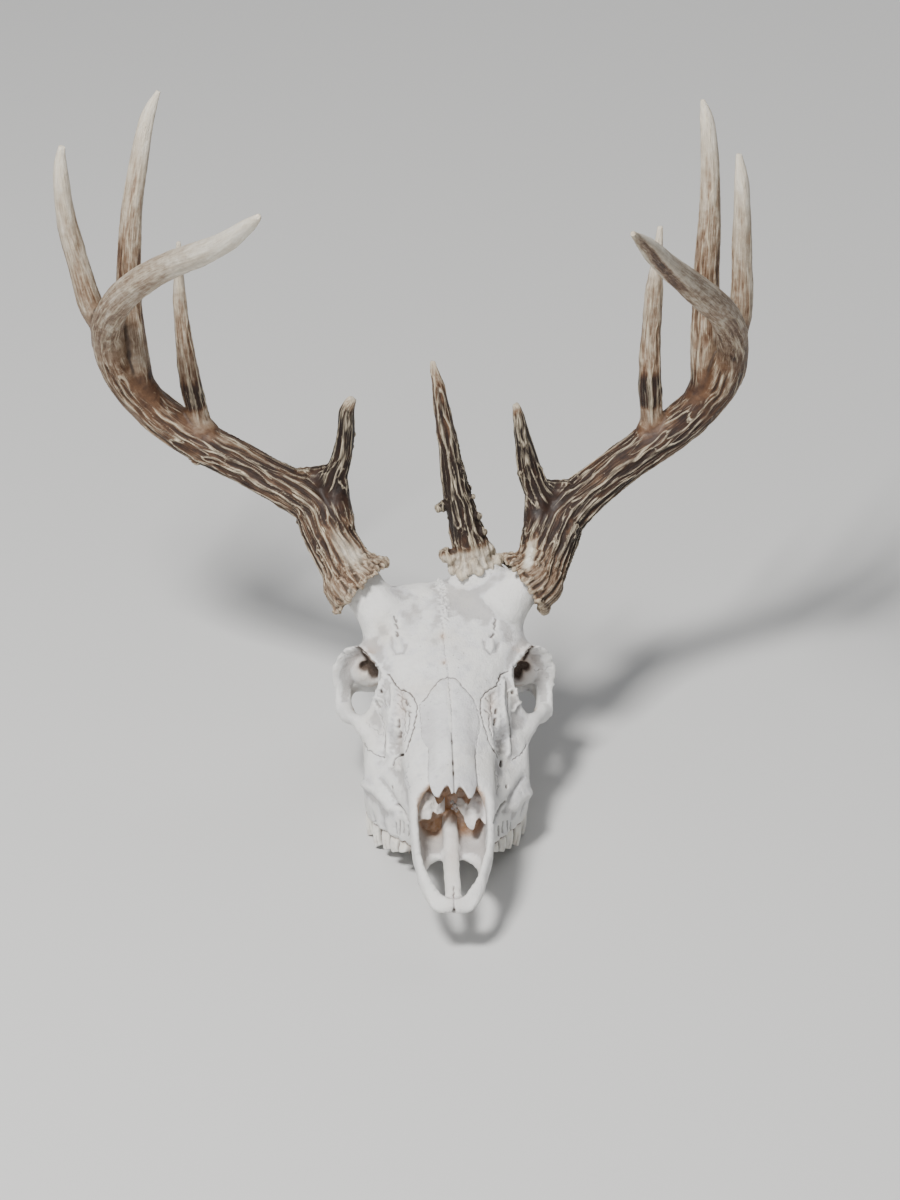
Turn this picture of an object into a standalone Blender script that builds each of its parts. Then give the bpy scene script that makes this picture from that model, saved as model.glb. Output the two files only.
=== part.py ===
"""White-tailed deer skull with antlers, life size, lying on its cheek teeth.

The skull is described in its own frame, in millimetres: X to the animal's left, Y back from the
tip of the nose, Z up from the level of that tip, with the palate level. The antlers follow
centre lines in the same frame. The empty "rest_pose" then lays the whole skull on the floor.
"""
import math

import bmesh
import bpy
from mathutils import Euler, Matrix, Vector

MM = 0.001

# ---------------------------------------------------------------- driving dimensions, mm
NOSE_UP_DEG = 5.0            # the skull rests on its molars and the processes beside the condyles
FLOOR_DROP = 27.0            # from the nose tip's level down to the floor, along the floor's normal
CENTRE_X = -22.8             # the object's box is centred on the origin, so this is its middle
CENTRE_Y = 147.1
JOINT_GAP = 0.3              # between pieces that touch
CRANIUM_VOXEL = 1.7
CRANIUM_TRIANGLES = 5000
ANTLER_STEP = 11.0           # distance between the rings of an antler's tube
SQUARE_END = 3.5             # length over which a tube is straight at each end
SIDES = {"right": -1, "left": 1}

# Heights and half widths of the face and muzzle, each at a distance back from the nose tip.
MUZZLE_STATIONS = (0.5, 4, 9, 16, 24, 34, 46, 56, 64, 72, 82, 92, 102, 112, 122, 134, 146, 156)
ROOF_Z = ((0, 6), (12, 15), (24, 22.5), (40, 30), (54, 35), (62, 39.5), (67, 47), (74, 52), (82, 55.5),
          (92, 59.5), (118, 67.5), (138, 74), (158, 80))
ROOF_HALF = ((0, 6), (12, 12.5), (24, 16), (40, 17.5), (58, 17), (66, 13), (76, 9.5), (92, 8.5), (118, 10.5),
             (138, 15), (158, 23))
SHOULDER_Z = ((0, 5), (12, 12), (24, 18), (40, 25), (60, 34), (75, 42), (92, 48), (118, 55),
              (138, 60), (158, 64))
SHOULDER_HALF = ((0, 10.5), (5, 13.6), (12, 16.2), (24, 19.3), (40, 21.3), (60, 22.3), (75, 21.5), (92, 23),
                 (118, 27.5), (138, 33), (158, 33))
CHEEK_Z = ((0, 3), (12, 6), (24, 9), (40, 13), (60, 20), (75, 22), (92, 23), (118, 22), (132, 32),
           (144, 40), (158, 36))
CHEEK_HALF = ((0, 10.5), (5, 13.6), (12, 16), (24, 19), (40, 20.9), (60, 22), (75, 23.5), (92, 31),
              (105, 39.5), (118, 44.8), (132, 44.8), (144, 46), (158, 42))
HOLLOW = ((0, 0.5), (74, 0.5), (88, 0.28), (102, 0.08), (118, 0.04), (134, 0.2), (150, 0.5))
ALVEOLUS_Z = ((0, 1), (24, 4), (60, 7), (75, 4), (84, 0), (105, -5), (125, -8), (145, -6), (158, 0))
ALVEOLUS_HALF = ((0, 8), (12, 13.5), (24, 16), (60, 17), (75, 19), (84, 25), (96, 31), (110, 36.5),
                 (125, 40.5), (145, 40), (158, 34))
PALATE_Z = ((0, 0), (24, 3.6), (60, 6), (105, 7), (158, 9))

# The forehead from the nose's root to behind the pedicles.
BROW_STATIONS = (118, 128, 138, 147, 156, 165, 174, 183, 191, 200, 209, 218, 227, 234)
BROW_TOP_Z = ((118, 67.5), (138, 74), (150, 79.5), (165, 86.5), (180, 93), (195, 99.5), (205, 101.5),
              (215, 98), (225, 92.5), (234, 87))
BROW_HALF = ((118, 13), (138, 22), (147, 28.5), (156, 32.5), (165, 37), (174, 43), (183, 45), (191, 44.5),
             (200, 44.5), (209, 42.5), (218, 40), (234, 34))
BROW_EDGE_Z = ((118, 58), (138, 62), (150, 68), (158, 70.5), (165, 72), (174, 73.5), (183, 75.5), (191, 81),
               (200, 87), (210, 89), (220, 86), (234, 80))
BROW_DEPTH = 34.0

# The braincase and the bar of bone under it.
CASE_STATIONS = (184, 192, 202, 213, 224, 236, 247, 257, 264, 269)
CASE_TOP_Z = ((184, 88), (205, 95), (225, 91), (245, 82), (260, 73), (269, 64))
CASE_LOW_Z = ((184, 38), (205, 30), (225, 24), (250, 20), (269, 22))
CASE_HALF = ((184, 27), (200, 33), (220, 36), (240, 37), (255, 34), (264, 28), (269, 19))
BASE_STATIONS = (140, 152, 166, 184, 204, 226, 248, 266, 272)
BASE_TOP_Z = ((140, 60), (184, 64), (226, 46), (272, 26))
BASE_LOW_Z = ((140, 20), (166, 22), (204, 17), (226, 13), (266, 11), (272, 14))
BASE_HALF = ((140, 19), (166, 13), (204, 12), (226, 14), (266, 16), (272, 12))

# The nasal bones, a thin arched plate that overhangs the opening of the nose.
NASAL_STATIONS = (54, 58, 64, 72, 84, 98, 112, 124, 133, 140)
NASAL_Z = ((54, 47.5), (72, 54), (92, 61), (118, 68.3), (140, 75.5))
NASAL_HALF = ((54, 10), (64, 12.5), (92, 13.5), (118, 15.5), (133, 16), (140, 8))
NASAL_ARCH = 4.2             # drop from the middle of the plate to its edge
NASAL_THICK = 3.4
NASAL_NOTCH = (4.2, 3.0, 8.0)   # place across, half width and depth of the notch in each free end

# The nasal cavity, open in front and above as far back as the nasal bones.
CAVITY_STATIONS = (5, 10, 18, 30, 42, 50, 52.5, 60, 65, 68.5, 74, 84, 96, 110)
CAVITY_FLOOR_Z = ((6, 6), (12, 5.8), (30, 7.6), (46, 9.5), (70, 11), (112, 16))
CAVITY_HALF = ((5, 3), (10, 8.5), (18, 13.8), (30, 16.6), (42, 17.6), (66, 17.6), (96, 15), (112, 9))
CAVITY_TOP_SHARE = ((5, 1), (52, 1), (60, 0.92), (65, 0.72), (68.5, 0.62), (110, 0.62))   # of the half width
CAVITY_OPEN_Z = 70.0         # over the open part of the cavity
CAVITY_OPEN_TO = 51.0
CAVITY_UNDER_NASALS_TO = 66.0
CAVITY_UNDER_NASALS = 4.2    # below the nasal bones' top
CAVITY_ROOF_BELOW = 2.2      # thickness over the closed part
FISSURE_NEAR, FISSURE_FAR = 12.0, 55.0
FISSURE_INNER, FISSURE_OUTER = 4.2, 13.6

# Eye sockets: the rim of the left one is a flat band between two lines. Then the cheek's arch.
RIM_EDGE = ((49.5, 173, 79), (58, 178, 72.5), (62, 181, 64), (63.4, 182, 57), (62.8, 182, 51),
            (62, 180.5, 46), (62.4, 177, 40.5), (61.4, 171, 37), (58.5, 164, 35.8), (53, 157, 37), (48.5, 151, 40.5),
            (43.5, 147.5, 47), (40.2, 146.5, 57), (37.8, 149.5, 66), (38, 155, 71.5), (42.5, 165, 75.5))
RIM_INSIDE = ((46, 178, 74), (44.5, 184, 67.5), (45.5, 187, 60), (46.8, 188, 54), (48.5, 188, 49),
              (50, 186.5, 43.5), (50.5, 183, 40.5), (49.5, 177, 38.5), (47.5, 169, 38.8), (45.5, 161, 40),
              (43.5, 156, 43.5), (41, 152, 49), (38, 152, 58), (35.5, 155, 66), (35, 160, 69.5), (40, 169, 72.5))
RIM_THICK = 3.2
SOCKET_CENTRE = (46, 166, 58)
SOCKET_RADII = (27, 17.5, 15.5)
SOCKET_TURN_DEG = 24.0       # the socket looks a little forward
SOCKET_FLOOR = ((33, 168, 36), (17, 14, 22))
TEMPLE = ((29, 212, 64), (14, 32, 26))
SHELF = ((41, 211, 42), (16, 16, 8))   # the jaw's joint, under the back end of the arch
ARCH = ((43, 140, 38), (49, 153, 42), (54, 168, 40), (55, 186, 36), (52, 202, 39.5),
        (45, 214, 43.5), (34, 226, 46))
ARCH_RADIUS = 4.0

# Upper cheek teeth of one side, front to back: distance back, middle X, length, width, crown tip.
TEETH = ((84.0, 21.4, 9.6, 8.4, -4.0), (94.0, 25.0, 10.0, 10.2, -9.5), (104.2, 28.6, 10.4, 11.6, -13.0),
         (116.0, 32.4, 12.8, 13.6, -16.2), (130.2, 35.4, 14.6, 14.6, -16.2), (144.4, 35.0, 13.6, 14.0, -14.6))
TOOTH_ROOT_Z = 6.0

# The underside behind the palate.
CONDYLE = ((12.8, 266.5, 21.5), (8.6, 9.0, 12.0))
SPINE_HOLE = ((0.0, 276.0, 37.0), 10.5, 30.0)
PROCESS = ((29, 252, 34, 8), (29.5, 255, 20, 7), (29, 256.5, 6, 5), (28, 256.5, -5.6, 4.4))
DRUM = ((22.5, 236.0, 14.5), (7.0, 12.5, 8.5))
EAR_TUBE = ((27, 238, 28, 6), (36, 240, 34, 5.2), (42, 241, 37.5, 5))
WING_MIDDLE, WING_HALF = 12.6, 2.7
WING = ((146, 14, 34), (156, 10, 34), (170, 8.5, 33), (182, 11, 30), (194, 19, 27))   # back, low, high
CREST = ((-26, 263, 55, 4.5), (-14, 266, 62, 5), (0, 267.5, 64.5, 5.5), (14, 266, 62, 5), (26, 263, 55, 4.5))

# Hollows of the underside: distance back, half width, (low,) top.
PALATE_HOLLOW = ((74, 9, 3), (84, 14, 6), (100, 17.5, 8), (125, 21, 9.5), (146, 21.5, 10.5), (165, 20, 12))
PALATE_HOLLOW_LOW = -30.0
THROAT_HOLLOW = ((150, 8.5, 2, 27), (160, 9.5, 2, 29), (172, 9.5, 2, 24), (186, 8.5, 2, 17))
FLOOR_SIZE = (240, 460, 60)
FLOOR_MIDDLE = 140.0

# Antlers: centre lines with their radii. A fork is a place along the beam's line.
BEAM_RIGHT = ((-46, 200.5, 101.5, 19.5), (-50.2, 202.5, 105.3, 18.8), (-54.5, 207, 111.5, 14.9),
              (-60, 213.5, 119.5, 14.2), (-66, 219.5, 128.5, 13.4), (-73, 227, 140, 12.7),
              (-96, 236.5, 151, 11.6), (-118, 244, 161, 11.4), (-141.5, 250, 171.5, 11.4),
              (-167, 254, 192, 11.1), (-183, 247, 220.5, 9.8), (-184, 226, 251.5, 9.0),
              (-170.5, 192, 283.5, 8.4), (-149, 152, 313, 7.7), (-125.5, 104, 342.5, 6.3),
              (-110.5, 73, 365.5, 4.4), (-103.5, 58.5, 377.5, 1.6))
TINES_RIGHT = {
    "brow_tine": ((-68, 224, 136, 7.0), (-59, 227, 159.5, 6.3), (-55, 226.5, 178, 5.0),
                  (-54, 226, 195, 4.5), (-50.7, 225.5, 204, 2.4)),
    "second_tine": ((-132, 248, 168, 6.4), (-139, 248.5, 199, 6.2), (-143.5, 247.5, 229, 5.0),
                    (-146, 246, 259.5, 3.8), (-146.3, 246, 288.5, 1.4)),
    "third_tine": ((-164, 252.5, 189, 6.4), (-170, 250, 219, 7.5), (-173.5, 248, 252.5, 7.1),
                   (-172, 249, 301.5, 6.2), (-164.5, 256, 350, 4.4), (-156.7, 260, 371, 1.6)),
    "fourth_tine": ((-183.3, 241.5, 229, 5.4), (-194, 241, 252.5, 6.9), (-201.5, 240, 280, 6.3),
                    (-207.3, 239, 305.5, 5.6), (-210, 236.7, 334, 3.8), (-209, 234.7, 348.5, 1.9)),
}
BEAM_LEFT = ((44.5, 197, 104.5, 19.0), (49.3, 198.7, 107.8, 18.2), (53.5, 203, 113, 15.0),
             (58, 209, 121, 14.4), (62, 213.5, 129, 13.8), (67, 219, 136.5, 13.0), (86.5, 228.5, 151.5, 11.9),
             (109, 236, 166.5, 11.6), (132.5, 239.5, 183, 11.4), (148, 238, 200, 10.5),
             (156.5, 231, 219.5, 9.5), (157, 217, 241, 8.9), (149.5, 191.5, 267, 8.7), (134, 155, 295, 8.3),
             (115, 114, 325, 7.0), (99.3, 77, 353, 5.0), (89.5, 52.5, 370.5, 1.8))
TINES_LEFT = {
    "brow_tine": ((62.5, 215, 130, 7.0), (49, 221, 156, 7.2), (43.7, 220.5, 177.5, 5.0),
                  (40.6, 219.5, 194.5, 3.5), (38.8, 219, 203, 2.2)),
    "second_tine": ((116.4, 237, 173.5, 6.0), (114, 238, 200, 6.7), (113.6, 239, 232.5, 5.8),
                    (115, 238.7, 267.5, 4.7), (117, 240, 299.5, 1.6)),
    "third_tine": ((143, 238.7, 193.5, 6.8), (143.6, 239.3, 226, 8.0), (143.2, 239, 277.5, 7.1),
                   (144, 240.7, 314.5, 6.0), (142, 245.7, 353.5, 4.3), (138.8, 249, 370, 1.4)),
    "fourth_tine": ((157, 225.5, 229, 5.4), (161.4, 224, 256.5, 6.7), (161, 225, 291.5, 5.7),
                    (160, 225.7, 326, 4.3), (157.7, 226.5, 347, 1.6)),
}
ANTLERS = {"right": (BEAM_RIGHT, TINES_RIGHT), "left": (BEAM_LEFT, TINES_LEFT)}
BEAM_PARTS = ("beam_base", "beam_lower", "beam_middle", "beam_upper", "beam_end")
EXTRA_BEAM = ((17, 206, 111, 11.5), (15, 206.5, 121, 10.4), (11.3, 208, 135, 9.2), (5, 208, 162, 7.2),
              (0, 208.8, 192, 5.4), (-4.6, 208.3, 219, 3.6), (-8, 208.3, 233, 1.4))
PEDICLE_LENGTH = 24.0
PEDICLE_NECK = 9.0           # below the burr, the flare starts here
PEDICLE_INTO = 3.0           # the bone reaches this far up round the antler's foot
FOOT_LENGTH = 40.0           # of the cutter that clears an antler's foot
PEDICLE_FLARE = 3.5          # a pedicle is this much wider at its foot than at its antler
PEDICLE_NARROWER = 6.5       # than the burr that stands on it
EXTRA_PEDICLE_WIDER = 3.5    # the third beam's stump is rough and wide


# ---------------------------------------------------------------- materials and collections
def material(name, colour, roughness):
    mat = bpy.data.materials.new(name)
    mat.use_nodes = True
    shader = mat.node_tree.nodes["Principled BSDF"]
    shader.inputs["Base Color"].default_value = (*colour, 1.0)
    shader.inputs["Roughness"].default_value = roughness
    shader.inputs["Metallic"].default_value = 0.0
    return mat


def collection(name):
    made = bpy.data.collections.new(name)
    bpy.context.scene.collection.children.link(made)
    return made


for old in list(bpy.data.objects):
    bpy.data.objects.remove(old, do_unlink=True)
PARTS = collection("deer_skull")
SHAPES = collection("cutters")
BONE = material("bleached_bone", (0.80, 0.78, 0.72), 0.6)
ANTLER_DARK = material("antler_brown", (0.24, 0.15, 0.09), 0.6)
ANTLER_PALE = material("antler_pale", (0.56, 0.46, 0.34), 0.5)


# ---------------------------------------------------------------- curves and rings
def blend(a, b, c, d, t):
    """Catmull-Rom value between b and c."""
    return 0.5 * (2 * b + (c - a) * t + (2 * a - 5 * b + 4 * c - d) * t * t
                  + (3 * b - a - 3 * c + d) * t ** 3)


def along(curve, y):
    """Value at y of a smooth curve through (y, value) pairs."""
    if y <= curve[0][0]:
        return curve[0][1]
    if y >= curve[-1][0]:
        return curve[-1][1]
    k = next(i for i in range(len(curve) - 1) if curve[i + 1][0] >= y)
    (y0, v0), (y1, v1) = curve[k], curve[k + 1]
    span = y1 - y0
    slope0 = (v1 - curve[k - 1][1]) / (y1 - curve[k - 1][0]) if k else (v1 - v0) / span
    last = k + 2 >= len(curve)
    slope1 = (v1 - v0) / span if last else (curve[k + 2][1] - v0) / (curve[k + 2][0] - y0)
    t = (y - y0) / span
    rise = (2 * t ** 3 - 3 * t ** 2 + 1) * v0 + (3 * t ** 2 - 2 * t ** 3) * v1
    return rise + span * ((t ** 3 - 2 * t ** 2 + t) * slope0 + (t ** 3 - t ** 2) * slope1)


def smooth_line(points, steps):
    """Smooth open line through tuples, with so many steps between each two."""
    ends = [points[0], *points, points[-1]]
    line = []
    for a, b, c, d in zip(ends, ends[1:], ends[2:], ends[3:]):
        for i in range(steps):
            line.append(tuple(blend(*axis, i / steps) for axis in zip(a, b, c, d)))
    line.append(tuple(float(v) for v in points[-1]))
    return line


def mirrored_ring(half, y, steps=4):
    """Closed ring in the plane at y, from a half outline that starts and ends on the middle."""
    line = smooth_line(half, steps)
    ring = [(x, y, z) for x, z in line]
    ring += [(-x, y, z) for x, z in line[-2:0:-1]]
    return ring


def oval_ring(y, half, low, high, square=2.4, count=28):
    """Closed rounded-box ring in the plane at y."""
    ring = []
    for i in range(count):
        a = 2 * math.pi * i / count
        c, s = math.cos(a), math.sin(a)
        ring.append((half * math.copysign(abs(c) ** (2 / square), c), y,
                     (low + high) / 2 + (high - low) / 2 * math.copysign(abs(s) ** (2 / square), s)))
    return ring


# ---------------------------------------------------------------- solids
def mesh_object(name, bm, group=SHAPES):
    bmesh.ops.recalc_face_normals(bm, faces=bm.faces)
    mesh = bpy.data.meshes.new(name)
    bm.to_mesh(mesh)
    bm.free()
    made = bpy.data.objects.new(name, mesh)
    group.objects.link(made)
    return made


def loft(name, rings):
    """Closed skin over rings of equal count, given in millimetres."""
    bm = bmesh.new()
    loops = [[bm.verts.new(Vector(p) * MM) for p in ring] for ring in rings]
    for a, b in zip(loops, loops[1:]):
        for i in range(len(a)):
            j = (i + 1) % len(a)
            bm.faces.new((a[i], a[j], b[j], b[i]))
    bm.faces.new(loops[0])
    bm.faces.new(loops[-1])
    return mesh_object(name, bm)


def ellipsoid(name, centre, radii, turn=0.0):
    bm = bmesh.new()
    bmesh.ops.create_uvsphere(bm, u_segments=32, v_segments=20, radius=1.0)
    place = Matrix.Translation(Vector(centre) * MM) @ Matrix.Rotation(turn, 4, "Z")
    bmesh.ops.transform(bm, matrix=place @ Matrix.Diagonal((*[r * MM for r in radii], 1.0)), verts=bm.verts)
    return mesh_object(name, bm)


def block(name, centre, size, lean):
    bm = bmesh.new()
    bmesh.ops.create_cube(bm, size=1.0)
    place = Matrix.Translation(Vector(centre) * MM) @ Matrix.Rotation(lean, 4, "X")
    bmesh.ops.transform(bm, matrix=place @ Matrix.Diagonal((*[s * MM for s in size], 1.0)), verts=bm.verts)
    return mesh_object(name, bm)


def tube(name, stations, grow=0.0, group=SHAPES):
    """Round tube through (x, y, z, radius) stations, as a closed mesh made from a curve."""
    data = bpy.data.curves.new(name, "CURVE")
    data.dimensions = "3D"
    data.bevel_depth = MM
    data.bevel_resolution = 3
    data.use_fill_caps = True
    spline = data.splines.new("POLY")
    spline.points.add(len(stations) - 1)
    for point, (x, y, z, radius) in zip(spline.points, stations):
        point.co = (x * MM, y * MM, z * MM, 1.0)
        point.radius = radius + grow
    source = bpy.data.objects.new(name, data)
    group.objects.link(source)
    bpy.context.view_layer.update()
    mesh = bpy.data.meshes.new_from_object(source.evaluated_get(bpy.context.evaluated_depsgraph_get()))
    bm = bmesh.new()
    bm.from_mesh(mesh)
    bmesh.ops.remove_doubles(bm, verts=bm.verts, dist=0.00001)
    made = mesh_object(name, bm, group)
    made.matrix_world = source.matrix_world.copy()
    bpy.data.objects.remove(source)
    bpy.data.curves.remove(data)
    bpy.data.meshes.remove(mesh)
    made.name = name
    return made


def settle(made):
    """Keep what the modifiers make and drop them."""
    bpy.context.view_layer.update()
    mesh = bpy.data.meshes.new_from_object(made.evaluated_get(bpy.context.evaluated_depsgraph_get()))
    made.modifiers.clear()
    made.data = mesh


def join(name, pieces):
    """One object from several, its shells still separate."""
    bm = bmesh.new()
    for piece in pieces:
        bm.from_mesh(piece.data)
        bpy.data.objects.remove(piece)
    return mesh_object(name, bm)


def melt(name, pieces, voxel, passes):
    """One skin round overlapping pieces, smoothed."""
    made = join(name, pieces)
    remesh = made.modifiers.new("skin", "REMESH")
    remesh.mode = "VOXEL"
    remesh.voxel_size = voxel * MM
    smooth = made.modifiers.new("smooth", "SMOOTH")
    smooth.factor = 0.5
    smooth.iterations = passes
    settle(made)
    return made


def boolean(made, other, operation="DIFFERENCE", keep=False):
    step = made.modifiers.new(other.name, "BOOLEAN")
    step.operation = operation
    step.solver = "EXACT"
    step.object = other
    settle(made)
    if not keep:
        bpy.data.objects.remove(other)


def drop_chips(made):
    """Keep the largest of the shells that a cut leaves."""
    bm = bmesh.new()
    bm.from_mesh(made.data)
    left = set(bm.verts)
    shells = []
    while left:
        shell = {left.pop()}
        edge = list(shell)
        while edge:
            last = edge.pop()
            near = {e.other_vert(last) for e in last.link_edges} - shell
            shell |= near
            edge += near
        left -= shell
        shells.append(shell)
    shells.sort(key=len)
    for shell in shells[:-1]:
        bmesh.ops.delete(bm, geom=list(shell), context="VERTS")
    bm.to_mesh(made.data)
    bm.free()


# ---------------------------------------------------------------- antlers
def distance(a, b):
    return (Vector(a[:3]) - Vector(b[:3])).length


def beam_line(stations):
    """Fine stations along a smooth line, with the distance to each."""
    fine = smooth_line(stations, 12)
    run = [0.0]
    for a, b in zip(fine, fine[1:]):
        run.append(run[-1] + distance(a, b))
    return fine, run


def spot_at(fine, run, s):
    """Centre and radius at a distance along a line."""
    s = min(max(s, 0.0), run[-1])
    k = next(i for i in range(len(run) - 1) if run[i + 1] >= s)
    return Vector(fine[k]).lerp(Vector(fine[k + 1]), (s - run[k]) / (run[k + 1] - run[k]))


def station_at(fine, run, s):
    """Centre, radius and direction at a distance along a line."""
    heading = spot_at(fine, run, s + SQUARE_END) - spot_at(fine, run, s - SQUARE_END)
    return spot_at(fine, run, s), Vector(heading[:3]).normalized()


def stretch(fine, run, start, end, grow=0.0):
    """Stations of one stretch of a line. Each end is square to the line there."""
    count = max(2, round((end - start) / ANTLER_STEP))
    stations = []
    for i in range(count + 1):
        spot, heading = station_at(fine, run, start + (end - start) * i / count)
        centre = Vector(spot[:3])
        if i == 0:
            foot = centre - heading * grow
            stations.append((*foot, spot[3]))
            stations.append((*(centre + heading * SQUARE_END), spot[3]))
        elif i == count and end < run[-1] - 1:
            stations.append((*(centre - heading * SQUARE_END), spot[3]))
            stations.append((*(centre + heading * grow), spot[3]))
        else:
            stations.append((*centre, spot[3]))
    return stations


def fork_place(fine, run, root):
    """Distance along the beam at which a tine's first station stands."""
    best = min(range(len(fine)), key=lambda i: distance(fine[i], root))
    return run[best]


def antler(side):
    """Beam cut into lengths at its forks, with one tine at each fork."""
    beam, tines = ANTLERS[side]
    fine, run = beam_line(beam)
    forks = [fork_place(fine, run, line[0]) for line in tines.values()]
    cuts = [0.0, *forks, run[-1]]
    nodes = []
    spans = []
    for label, start, end in zip(BEAM_PARTS, cuts, cuts[1:]):
        first = start + (JOINT_GAP / 2 if start else 0)
        last = end - (JOINT_GAP / 2 if end < run[-1] else 0)
        nodes.append(tube(f"antler_{side}_{label}", stretch(fine, run, first, last), group=PARTS))
        spans.append((first, last))
    for label, line in tines.items():
        tine_fine, tine_run = beam_line(line)
        tine = tube(f"antler_{side}_{label}", stretch(tine_fine, tine_run, 0.0, tine_run[-1]), group=PARTS)
        for first, last in spans:
            boolean(tine, tube("beam_cutter", stretch(fine, run, first, last, JOINT_GAP), grow=JOINT_GAP))
        drop_chips(tine)
        nodes.append(tine)
    return nodes


def antler_foot(stations, grow=JOINT_GAP):
    """Cutter that leaves the joint gap round an antler's foot."""
    fine, run = beam_line(stations)
    return tube("foot_cutter", stretch(fine, run, 0.0, FOOT_LENGTH, grow), grow=grow)


def pedicle(stations, wider=-PEDICLE_NARROWER):
    """Stump of bone under an antler, in line with it."""
    foot, above = Vector(stations[0][:3]), Vector(stations[2][:3])
    heading = (above - foot).normalized()
    radius = stations[0][3] + wider
    low = foot - heading * PEDICLE_LENGTH
    return tube("pedicle", ((*low, radius + PEDICLE_FLARE), (*(foot - heading * PEDICLE_NECK), radius),
                            (*(foot + heading * PEDICLE_INTO), radius)))


# ---------------------------------------------------------------- the skull's forms
def muzzle():
    """Face and muzzle, a little hollow between the cheek and the shoulder."""
    rings = []
    for y in MUZZLE_STATIONS:
        cheek, shoulder = along(CHEEK_HALF, y), along(SHOULDER_HALF, y)
        low, high = along(CHEEK_Z, y), along(SHOULDER_Z, y)
        half = ((0, along(PALATE_Z, y)), (along(ALVEOLUS_HALF, y) * 0.55, along(PALATE_Z, y) - 0.5),
                (along(ALVEOLUS_HALF, y), along(ALVEOLUS_Z, y)), (cheek, low),
                (shoulder + (cheek - shoulder) * along(HOLLOW, y), (low + high) / 2), (shoulder, high),
                (along(ROOF_HALF, y), along(ROOF_Z, y) - 2.5), (0, along(ROOF_Z, y)))
        rings.append(mirrored_ring(half, y))
    return loft("muzzle", rings)


def forehead():
    rings = []
    for y in BROW_STATIONS:
        top, edge, half = along(BROW_TOP_Z, y), along(BROW_EDGE_Z, y), along(BROW_HALF, y)
        outline = ((0, top - BROW_DEPTH), (half * 0.55, edge - 12), (half * 0.93, edge - 5), (half, edge),
                   (half * 0.86, edge + (top - edge) * 0.5), (half * 0.55, top - 2.2), (0, top))
        rings.append(mirrored_ring(outline, y))
    return loft("forehead", rings)


def braincase():
    rings = [oval_ring(y, along(CASE_HALF, y), along(CASE_LOW_Z, y), along(CASE_TOP_Z, y))
             for y in CASE_STATIONS]
    return loft("braincase", rings)


def skull_base():
    rings = [oval_ring(y, along(BASE_HALF, y), along(BASE_LOW_Z, y), along(BASE_TOP_Z, y))
             for y in BASE_STATIONS]
    return loft("skull_base", rings)


def nasal_bones():
    rings = []
    for y in NASAL_STATIONS:
        z, half = along(NASAL_Z, y), along(NASAL_HALF, y)
        edge = z - NASAL_ARCH * (half / 13.0) ** 2
        outline = ((0, z - NASAL_THICK), (half * 0.5, z - NASAL_THICK - 1.2), (half * 0.9, edge - NASAL_THICK),
                   (half, edge - NASAL_THICK / 2), (half * 0.93, edge), (half * 0.5, z - 1.0), (0, z))
        rings.append(mirrored_ring(outline, y))
    return loft("nasal_bones", rings)


def mirror_stations(stations, side):
    return [(side * s[0], *s[1:]) for s in stations]


def wing(side):
    """Upright plate behind the palate."""
    rings = [[(x + side * WING_MIDDLE, y, z) for x, y, z in oval_ring(back, WING_HALF, low, high)]
             for back, low, high in WING]
    return loft("wing", rings)


def closed_line(points, side):
    """Smooth closed line through points of the left side, or mirrored to the right."""
    round_trip = smooth_line((points[-1], *points, points[0], points[1]), 3)[3:-4]
    return [Vector((side * x, y, z)) for x, y, z in round_trip]


def rim(side):
    """The eye's rim: a flat band with rounded edges."""
    edge, inside = closed_line(RIM_EDGE, side), closed_line(RIM_INSIDE, side)
    middles = [(a + b) / 2 for a, b in zip(edge, inside)]
    bm = bmesh.new()
    loops = []
    for i, middle in enumerate(middles):
        half = (edge[i] - inside[i]) / 2
        across = half.cross(middles[(i + 1) % len(middles)] - middle).normalized() * RIM_THICK / 2
        loop = []
        for x, _, z in oval_ring(0, 1, -1, 1, 3.0, 16):
            loop.append(bm.verts.new((middle + half * x + across * z) * MM))
        loops.append(loop)
    for a, b in zip(loops, loops[1:] + loops[:1]):
        for i in range(len(a)):
            j = (i + 1) % len(a)
            bm.faces.new((a[i], a[j], b[j], b[i]))
    return mesh_object("rim", bm)


def side_forms(side):
    """Paired forms of one side."""
    arch = [(*p, ARCH_RADIUS) for p in smooth_line(ARCH, 4)]
    forms = [rim(side), tube("arch", mirror_stations(arch, side)), wing(side)]
    for label, line in (("process", PROCESS), ("ear_tube", EAR_TUBE)):
        forms.append(tube(label, mirror_stations(smooth_line(line, 4), side)))
    for label, (centre, radii) in (("condyle", CONDYLE), ("drum", DRUM), ("temple", TEMPLE),
                                    ("shelf", SHELF)):
        forms.append(ellipsoid(label, (side * centre[0], *centre[1:]), radii))
    return forms


def tooth(side, back, middle, length, width, tip):
    """One cheek tooth: a rounded block, a little wider at the gum."""
    outline = oval_ring(0, 0.5, -0.5, 0.5, 4.0, 20)
    rings = []
    for z, scale in ((tip, 0.82), (tip + 2.2, 0.95), (TOOTH_ROOT_Z, 1.0)):
        rings.append([(side * middle + x * width * scale, back + across * length * scale, z)
                      for x, y, across in outline])
    return loft("tooth", rings)


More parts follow.
